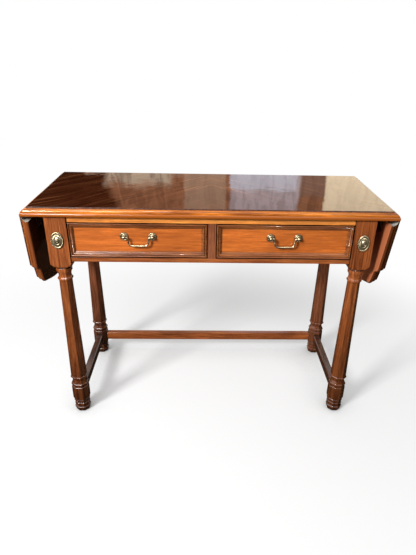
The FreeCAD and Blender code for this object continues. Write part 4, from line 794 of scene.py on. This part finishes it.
class TABLE_OT_carcass(bpy.types.Operator):
    """Finish the runners, kickers, stops and buttons inside the case"""
    bl_idname = "console_table.carcass"
    bl_label = "Inside of the case"

    def execute(self, context):
        width = context.scene.table_edges.straight
        for node in ("left_drawer_runner", "right_drawer_runner", "centre_drawer_runner",
                     "drawer_kickers", "drawer_stops", "top_buttons"):
            eased(node, pale_wood("y"), width)
        return {"FINISHED"}


class TABLE_OT_drawer_fronts(bpy.types.Operator):
    """Finish the drawer panels and the mouldings round them"""
    bl_idname = "console_table.drawer_fronts"
    bl_label = "Drawer fronts"

    def execute(self, context):
        for side in SIDES:
            mahogany(f"{side}_drawer_front", "drawers", "x")
            mahogany(f"{side}_drawer_moulding", "moulding", "x", "moulded")
        return {"FINISHED"}


class TABLE_OT_drawer_boxes(bpy.types.Operator):
    """Finish the sides, backs and bottoms of the drawers"""
    bl_idname = "console_table.drawer_boxes"
    bl_label = "Drawer boxes"

    def execute(self, context):
        width = context.scene.table_edges.straight
        for side in SIDES:
            for board, axis in (("inner_side", "y"), ("outer_side", "y"), ("back", "x"), ("bottom", "x")):
                eased(f"{side}_drawer_{board}", pale_wood(axis), width)
        return {"FINISHED"}


class TABLE_OT_pull_rosettes(bpy.types.Operator):
    """Turn the round rosettes behind the handle posts"""
    bl_idname = "console_table.pull_rosettes"
    bl_label = "Pull rosettes"

    SIDES_ROUND = 72
    BEADS = 28
    BEAD_SHARE = 0.062
    BEAD_CIRCLE = 0.70
    BEAD_RISE = 0.40

    # Shares of the radius and of the height, from the rim at the back to the middle
    PROFILE = (
        (1.0, 0.0), (1.0, 0.35), (0.985, 0.62), (0.94, 0.86), (0.88, 0.95), (0.82, 0.84), (0.78, 0.62),
        (0.74, 0.42), (0.66, 0.32), (0.56, 0.36), (0.49, 0.55), (0.45, 0.80), (0.40, 0.96), (0.34, 1.0),
        (0.15, 1.0))

    def execute(self, context):
        low, high = PULL_ROSETTES_LOW, PULL_ROSETTES_HIGH
        radius = (high.z - low.z) / 2
        rise = high.y - low.y
        height = (low.z + high.z) / 2
        profile = [(radius * share, rise * lift) for share, lift in self.PROFILE]
        for side, sign in SIDES.items():
            parts = []
            for x in (low.x + radius, high.x - radius):
                centre = Vector((sign * x, high.y, height))
                parts.append(turned_plate(centre, profile, self.SIDES_ROUND))
                circle = radius * self.BEAD_CIRCLE
                parts += bead_ring(
                    centre, circle, circle, rise * self.BEAD_RISE, self.BEADS, radius * self.BEAD_SHARE)
            piece = joined(f"{side}_pull_rosettes_turned", parts)
            finished(piece, hardware("pull brass"), f"{side}_drawer")
            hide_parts(f"{side}_pull_rosettes")
        return {"FINISHED"}


class TABLE_OT_pull_posts(bpy.types.Operator):
    """Finish the posts that the handles hang from, with the nuts inside the drawers"""
    bl_idname = "console_table.pull_posts"
    bl_label = "Pull posts"

    def execute(self, context):
        width = context.scene.table_edges.cast
        for side in SIDES:
            piece = eased(f"{side}_pull_posts", hardware("pull brass"), width)
            piece.name = f"{side}_pull_posts_cast"
        return {"FINISHED"}


class TABLE_OT_bails(bpy.types.Operator):
    """Cast the swan-necked handles with their collars and beads"""
    bl_idname = "console_table.bails"
    bl_label = "Bail handles"

    WIRE = 0.0026
    BELLY = 0.10  # share that the wire swells by between the middle and the feet
    BELLY_REACH = 0.025
    PIN_RADIUS = 0.0016
    PIN_LENGTH = 0.0019
    PIN_INSET = 0.0036  # pivot to the end of the pin
    POST_INSET = 0.005  # side of a post to its middle
    NECK_INSET = 0.0105
    NECK_RISE = 0.0265
    NECK_RADIUS = 0.0036
    FOOT_INSET = 0.0135
    FOOT_RISE = 0.0035
    FOOT_RADIUS = 0.0120
    STEP = 0.0003

    # Swellings: place along the handle, radius and half length
    COLLARS = ((0.0030, 0.0033, 0.0013), (0.0180, 0.0029, 0.0015))
    BEADS = ((0.0, 0.0035, 0.0026), (0.0056, 0.0033, 0.0022), (0.0106, 0.0031, 0.0018))

    def execute(self, context):
        pin = (BAIL_LOW.x + BAIL_HIGH.x) / 2
        reach = (PULL_POSTS_HIGH.x - PULL_POSTS_LOW.x) / 2 - self.POST_INSET
        y = (BAIL_LOW.y + BAIL_HIGH.y) / 2
        foot = BAIL_LOW.z + self.FOOT_RISE
        for side, sign in SIDES.items():
            piece = self.bail(f"{side}_pull_bail_cast", sign * pin, reach, y, foot)
            finished(piece, hardware("pull brass"), f"{side}_bail")
            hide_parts(f"{side}_pull_bail")
        return {"FINISHED"}

    def bail(self, name, middle, reach, y, foot):
        """One handle round its own middle; reach is the distance to each pivot."""
        top = foot + self.NECK_RISE
        half = ((self.PIN_INSET, top), (self.NECK_INSET, top), (self.FOOT_INSET, foot))
        corners = [Vector((middle - reach + inset, y, z)) for inset, z in half]
        corners += [Vector((middle + reach - inset, y, z)) for inset, z in reversed(half)]
        turns = (self.NECK_RADIUS, self.FOOT_RADIUS, self.FOOT_RADIUS, self.NECK_RADIUS)
        line = rounded_line(corners, turns, self.STEP)
        lengths = [0.0]
        for before, after in zip(line, line[1:]):
            lengths.append(lengths[-1] + (after - before).length)
        whole = lengths[-1]
        from_ends = [min(length, whole - length) for length in lengths]
        radii = [self.radius(from_end, whole / 2 - from_end) for from_end in from_ends]
        return joined(name, [tube(line, radii)])

    def radius(self, from_end, from_middle):
        """Radius of the handle by its distance from the nearer end and from the middle."""
        if from_end < self.PIN_LENGTH:
            return self.PIN_RADIUS
        swell = math.sin(min(1.0, from_middle / self.BELLY_REACH) * math.pi)
        wire = self.WIRE * (1.0 + self.BELLY * swell)
        swellings = [(from_end, *collar) for collar in self.COLLARS]
        swellings += [(from_middle, *round_bead) for round_bead in self.BEADS]
        for place, centre, radius, half in swellings:
            share = abs(place - centre) / half
            if share < 1.0:
                wire = max(wire, radius * math.sqrt(1.0 - share * share))
        return wire


class TABLE_OT_post_rosettes(bpy.types.Operator):
    """Chase the oval rosettes on the front posts"""
    bl_idname = "console_table.post_rosettes"
    bl_label = "Post rosettes"

    SIDES_ROUND = 192
    FLUTES = 24
    FLUTE_DEPTH = 0.14
    FLUTE_MIDDLE = 0.66
    FLUTE_REACH = 0.14
    BEADS = 40
    BEAD_RADIUS = 0.0013
    BEAD_OVAL = 0.455
    BEAD_RISE = 0.44

    # Shares of the size and of the height, from the rim at the back to the top of the boss
    PROFILE = (
        (1.0, 0.0), (1.0, 0.22), (0.985, 0.36), (0.95, 0.46), (0.91, 0.48), (0.87, 0.42), (0.84, 0.30),
        (0.80, 0.26), (0.74, 0.30), (0.68, 0.40), (0.60, 0.52), (0.54, 0.58), (0.48, 0.56), (0.44, 0.44),
        (0.40, 0.46), (0.36, 0.62), (0.30, 0.78), (0.24, 0.88), (0.18, 0.92), (0.16, 0.86), (0.13, 0.90),
        (0.09, 0.97), (0.04, 1.0), (0.01, 1.0))

    def execute(self, context):
        for side in SIDES:
            low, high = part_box(f"{side}_post_rosette")
            piece = self.rosette(f"{side}_post_rosette_chased", low, high)
            finished(piece, hardware("rosette brass"), "case")
            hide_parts(f"{side}_post_rosette")
        return {"FINISHED"}

    def rosette(self, name, low, high):
        """Oval plate in a box, with a beaded rim, radiating flutes and a domed boss."""
        width = high.x - low.x
        height = high.z - low.z
        rise = high.y - low.y
        centre = Vector(((low.x + high.x) / 2, high.y, (low.z + high.z) / 2))

        def flutes(radius, turn):
            share = (radius * 2 - self.FLUTE_MIDDLE) / self.FLUTE_REACH
            depth = max(0.0, 1.0 - share * share)
            return -rise * self.FLUTE_DEPTH * depth * (0.5 + 0.5 * math.cos(turn * self.FLUTES))

        profile = [(share / 2, rise * lift) for share, lift in self.PROFILE]
        parts = [turned_plate(centre, profile, self.SIDES_ROUND, width, height, flutes)]
        parts += bead_ring(centre, width * self.BEAD_OVAL, height * self.BEAD_OVAL, rise * self.BEAD_RISE,
                           self.BEADS, self.BEAD_RADIUS)
        return joined(name, parts)


class TABLE_OT_hinges(bpy.types.Operator):
    """Finish the hinges and folding stays under the leaves"""
    bl_idname = "console_table.hinges"
    bl_label = "Hinges and stays"

    def execute(self, context):
        width = context.scene.table_edges.metal
        groups = ("hinge_top_plates", "hinge_leaf_plates", "stay_case_bracket", "stay_leaf_bracket",
                  "stay_long_link", "stay_short_link")
        for side in SIDES:
            for group in groups:
                eased(f"{side}_{group}", hardware("hinge brass"), width, TURNED_SHARP_ANGLE)
        painted("hinge_pins", hardware("hinge brass"))
        return {"FINISHED"}


class TABLE_OT_screws(bpy.types.Operator):
    """Finish the screws"""
    bl_idname = "console_table.screws"
    bl_label = "Screws"

    def execute(self, context):
        for node in ("top_screws", "case_hardware_screws", "left_leaf_screws", "right_leaf_screws"):
            painted(node, hardware("screw steel"))
        return {"FINISHED"}


class TABLE_OT_studio(bpy.types.Operator):
    """Set up the floor, the lamps and the camera"""
    bl_idname = "console_table.studio"
    bl_label = "Studio"

    # Camera: place in metres, pitch, yaw and roll in degrees, lens and sensor in millimetres
    CAMERA_PLACE = (-0.0257, -1.5847, 1.1888)
    CAMERA_TURNS = (27.721, 2.1, 1.36)
    CAMERA_LENS = 20.857
    CAMERA_SENSOR = 24.0
    CAMERA_SHIFT = (-0.01928, 0.03676)

    # Colours of the floor as a light and to the eye, and how far out the shadow goes over to white
    FLOOR_LIT = (0.50, 0.48, 0.46)
    FLOOR_SEEN = (0.97, 0.97, 0.97)
    SHADOW_FADE = (0.55, 1.6)

    # Lamps: name, setting that holds the power, place, point that it is aimed at and side
    LAMPS = (
        ("Key lamp", "key_power", (-2.9, -3.1, 2.9), (0.0, 0.0, 0.4), 1.0),
        ("High lamp", "spark_power", (-1.03, -1.45, 2.15), (-0.1, 0.0, 0.4), 0.80),
    )

    # Cards seen only in the polish, glowing or dark, for painted reflections and highlights: name, two
    # opposite corners, colour times its level, softness of the edges and depth of the bands
    CARDS = (
        ("tan", (1.15, 3.00, 1.2), (1.95, 3.00, 1.83), (2.4, 1.93, 1.33), 0.015, 0.10),
        ("window", (0.235, 3.01, 1.2), (0.86, 3.01, 1.57), (1.45, 1.42, 1.58), 0.02, 0.16),
        ("window_low", (0.235, 3.015, 1.2), (0.90, 3.015, 2.1), (1.20, 1.00, 1.04), 0.02, 0.25),
        ("wall", (-0.215, 3.02, 1.2), (0.19, 3.02, 2.1), (0.95, 0.60, 0.40), 0.015, 0.15),
        ("patch", (-0.95, 3.03, 1.2), (-0.36, 3.03, 1.54), (1.25, 0.98, 0.72), 0.05, 0.45),
        ("strip", (-1.15, 3.04, 1.2), (-0.20, 3.04, 1.45), (1.10, 0.80, 0.60), 0.02, 0.25),
        ("edge", (0.70, 3.05, 1.2), (1.20, 3.05, 1.66), (0.55, 0.32, 0.23), 0.04, 0.20),
        ("room", (-0.90, 3.06, 1.2), (1.30, 3.06, 2.1), (0.72, 0.32, 0.17), 0.06, 0.35),
        ("dark", (-2.6, 3.08, 1.05), (3.2, 3.08, 2.30), (0.0, 0.0, 0.0), 0.0, 0.0),
        ("ground", (-6.0, -6.0, 0.003), (6.0, 6.0, 0.003), (0.03, 0.02, 0.012), 0.0, 0.0),
        ("front", (-3.4, -3.0, -0.6), (3.4, -3.0, 1.5), (0.04, 0.03, 0.02), 0.12, 0.0),
        ("right", (3.0, -3.0, 0.0), (3.0, 1.0, 2.2), (0.04, 0.03, 0.02), 0.0, 0.0),
        ("high", (-2.0, 2.60, 2.35), (-0.70, 2.60, 4.2), (3.0, 2.9, 2.8), 0.05, 0.2),
        ("sky", (-1.35, -0.84, 2.28), (-0.35, -0.60, 2.28), (30.0, 29.7, 29.2), 0.01, 0.5),
        ("sky_near", (-1.38, -2.25, 2.3), (-0.98, -1.80, 2.3), (24.0, 23.8, 23.6), 0.03, 0.2),
        ("sky_right", (-0.25, -1.05, 2.3), (1.4, -0.60, 2.3), (3.0, 2.9, 2.8), 0.03, 0.2),
    )

    def execute(self, context):
        studio = context.scene.table_studio
        self.floor(studio.floor_size)
        self.room(studio.ambient)
        for name, power, place, target, size in self.LAMPS:
            self.lamp(name, place, target, getattr(studio, power), size)
        for card in self.CARDS:
            self.card(*card)
        self.camera()
        context.scene.view_settings.view_transform = "Standard"
        return {"FINISHED"}

    def floor(self, size):
        """White floor that keeps the table's shadow, glows where it is seen, and has a painted shadow near
        the table.
        """
        half = size / 2
        corners = [(-half, -half, 0.0), (half, -half, 0.0), (half, half, 0.0), (-half, half, 0.0)]
        piece = new_piece("floor", corners, [(0, 1, 2, 3)])
        recipe = Recipe("floor white")
        seen = recipe.seen()
        shade = recipe.mix(seen, self.FLOOR_LIT, self.FLOOR_SEEN)
        paint = recipe.add("BsdfPrincipled", {"Base Color": shade, "Roughness": 0.9})
        # Painted shadow on the floor round the feet and under the table
        painted_contact_shadow = recipe.range(recipe.hollows(UNDER_TABLE), 0.35, 0.95, 0.25, 1.0)
        glow = recipe.add("Emission", {"Color": (1.0, 1.0, 1.0), "Strength": painted_contact_shadow})
        away = recipe.vector("LENGTH", {0: recipe.place()})["Value"]
        share = recipe.sum("MULTIPLY", seen, recipe.range(away, *self.SHADOW_FADE, 0.55, 1.0))
        mixed = recipe.add("MixShader", {0: share, 1: paint.outputs[0], 2: glow.outputs[0]})
        piece.data.materials.append(recipe.finish(mixed))

    def room(self, ambient):
        """White room for the eye and for reflections, softer as a light."""
        recipe = Recipe("studio room", bpy.data.worlds.new("studio room"))
        level = recipe.range(recipe.seen(), 0.0, 1.0, ambient, 1.0)
        glow = recipe.add("Background", {"Color": (1.0, 1.0, 1.0), "Strength": level})
        bpy.context.scene.world = recipe.finish(glow)

    def lamp(self, name, place, target, power, size):
        """Square area lamp aimed at a point."""
        light = bpy.data.lights.new(name, "AREA")
        light.energy = power
        light.size = size
        lamp = linked(name, light)
        lamp.location = place
        lamp.rotation_euler = (Vector(target) - Vector(place)).to_track_quat("-Z", "Y").to_euler()

    def card(self, name, first, last, colour, soft, bands):
        """One card between two corners, for the polish to mirror as a painted reflection; the camera doesn't
        see it.
        """
        name = f"reflection_{name}"
        spread = [axis for axis in range(3) if first[axis] != last[axis]]
        corners = []
        for ends in ((0, 0), (1, 0), (1, 1), (0, 1)):
            corner = list(first)
            for axis, end in zip(spread, ends):
                corner[axis] = (last[axis] + 2 * soft) if end else (first[axis] - 2 * soft)
            corners.append(corner)
        piece = new_piece(name, corners, [(0, 1, 2, 3)])
        recipe = Recipe(name)
        strength = max(*colour, 1e-6)
        shade = tuple(channel / strength for channel in colour)
        if soft:
            level = self.banded(recipe, strength, bands)
            light = recipe.add("Emission", {"Color": shade, "Strength": level}).outputs[0]
            clear = recipe.add("BsdfTransparent", {}).outputs[0]
            shown = self.shown(recipe, spread, first, last, soft)
            surface = recipe.add("MixShader", {0: shown, 1: clear, 2: light})
        else:
            surface = recipe.add("Emission", {"Color": shade, "Strength": strength})
        piece.data.materials.append(recipe.finish(surface))
        for ray in ("camera", "diffuse", "shadow", "transmission"):
            setattr(piece, f"visible_{ray}", False)

    def banded(self, recipe, strength, bands):
        """Strength that falls by a share in loose upright bands."""
        noise = recipe.noise(recipe.stretched(recipe.place(), (9.0, 1.0, 3.0)), 1.0, 4.0, 0.6, 1.5)
        return recipe.range(noise, 0.38, 0.58, strength * (1.0 - bands), strength)

    def shown(self, recipe, spread, first, last, soft):
        """1 between the two corners and 0 outside, with a wavy, soft edge."""
        parts = recipe.parts(recipe.warped(recipe.place(), 5.0, 3.0, 4 * soft))
        shown = 1.0
        for axis in spread:
            part = parts["XYZ"[axis]]
            low = first[axis] + 2 * soft
            high = last[axis] + 2 * soft
            shown = recipe.sum("MULTIPLY", shown, recipe.range(part, low - soft, low + soft))
            shown = recipe.sum("MULTIPLY", shown, recipe.range(part, high - soft, high + soft, 1.0, 0.0))
        return shown

    def camera(self):
        """Camera at the height and angle from which the table was seen."""
        data = bpy.data.cameras.new("Camera")
        data.sensor_fit = "VERTICAL"
        data.sensor_height = self.CAMERA_SENSOR
        data.lens = self.CAMERA_LENS
        data.shift_x, data.shift_y = self.CAMERA_SHIFT
        pitch, yaw, roll = (math.radians(turn) for turn in self.CAMERA_TURNS)
        aim = Matrix.Rotation(-yaw, 4, "Z") @ Matrix.Rotation(math.pi / 2 - pitch, 4, "X")
        camera = linked("Camera", data)
        camera.matrix_world = Matrix.Translation(self.CAMERA_PLACE) @ aim @ Matrix.Rotation(roll, 4, "Z")
        bpy.context.scene.camera = camera


OPERATORS = (
    TABLE_OT_top, TABLE_OT_leaves, TABLE_OT_legs, TABLE_OT_stretchers, TABLE_OT_rails, TABLE_OT_carcass,
    TABLE_OT_drawer_fronts, TABLE_OT_drawer_boxes, TABLE_OT_pull_rosettes, TABLE_OT_pull_posts,
    TABLE_OT_bails, TABLE_OT_post_rosettes, TABLE_OT_hinges, TABLE_OT_screws, TABLE_OT_studio,
)

SETTINGS = (
    ("table_wood", TableWood),
    ("table_brass", TableBrass),
    ("table_edges", TableEdges),
    ("table_studio", TableStudio),
)


class TABLE_PT_panel(bpy.types.Panel):
    """Sidebar panel with the table's settings and steps"""
    bl_idname = "TABLE_PT_panel"
    bl_label = "Console Table"
    bl_space_type = "VIEW_3D"
    bl_region_type = "UI"
    bl_category = "Console Table"

    def draw(self, context):
        for setting, group in SETTINGS:
            column = self.layout.column()
            for field in group.__annotations__:
                column.prop(getattr(context.scene, setting), field)
        for operator in OPERATORS:
            self.layout.operator(operator.bl_idname)


def register():
    """Adds the settings, operators and panel to Blender."""
    for setting, group in SETTINGS:
        bpy.utils.register_class(group)
        setattr(bpy.types.Scene, setting, bpy.props.PointerProperty(type=group))
    for item in OPERATORS + (TABLE_PT_panel,):
        bpy.utils.register_class(item)


def unregister():
    """Takes them away again."""
    for item in reversed(OPERATORS + (TABLE_PT_panel,)):
        bpy.utils.unregister_class(item)
    for setting, group in reversed(SETTINGS):
        delattr(bpy.types.Scene, setting)
        bpy.utils.unregister_class(group)


def main():
    register()
    for operator in OPERATORS:
        group, name = operator.bl_idname.split(".")
        getattr(getattr(bpy.ops, group), name)()


if __name__ == "__main__":
    main()
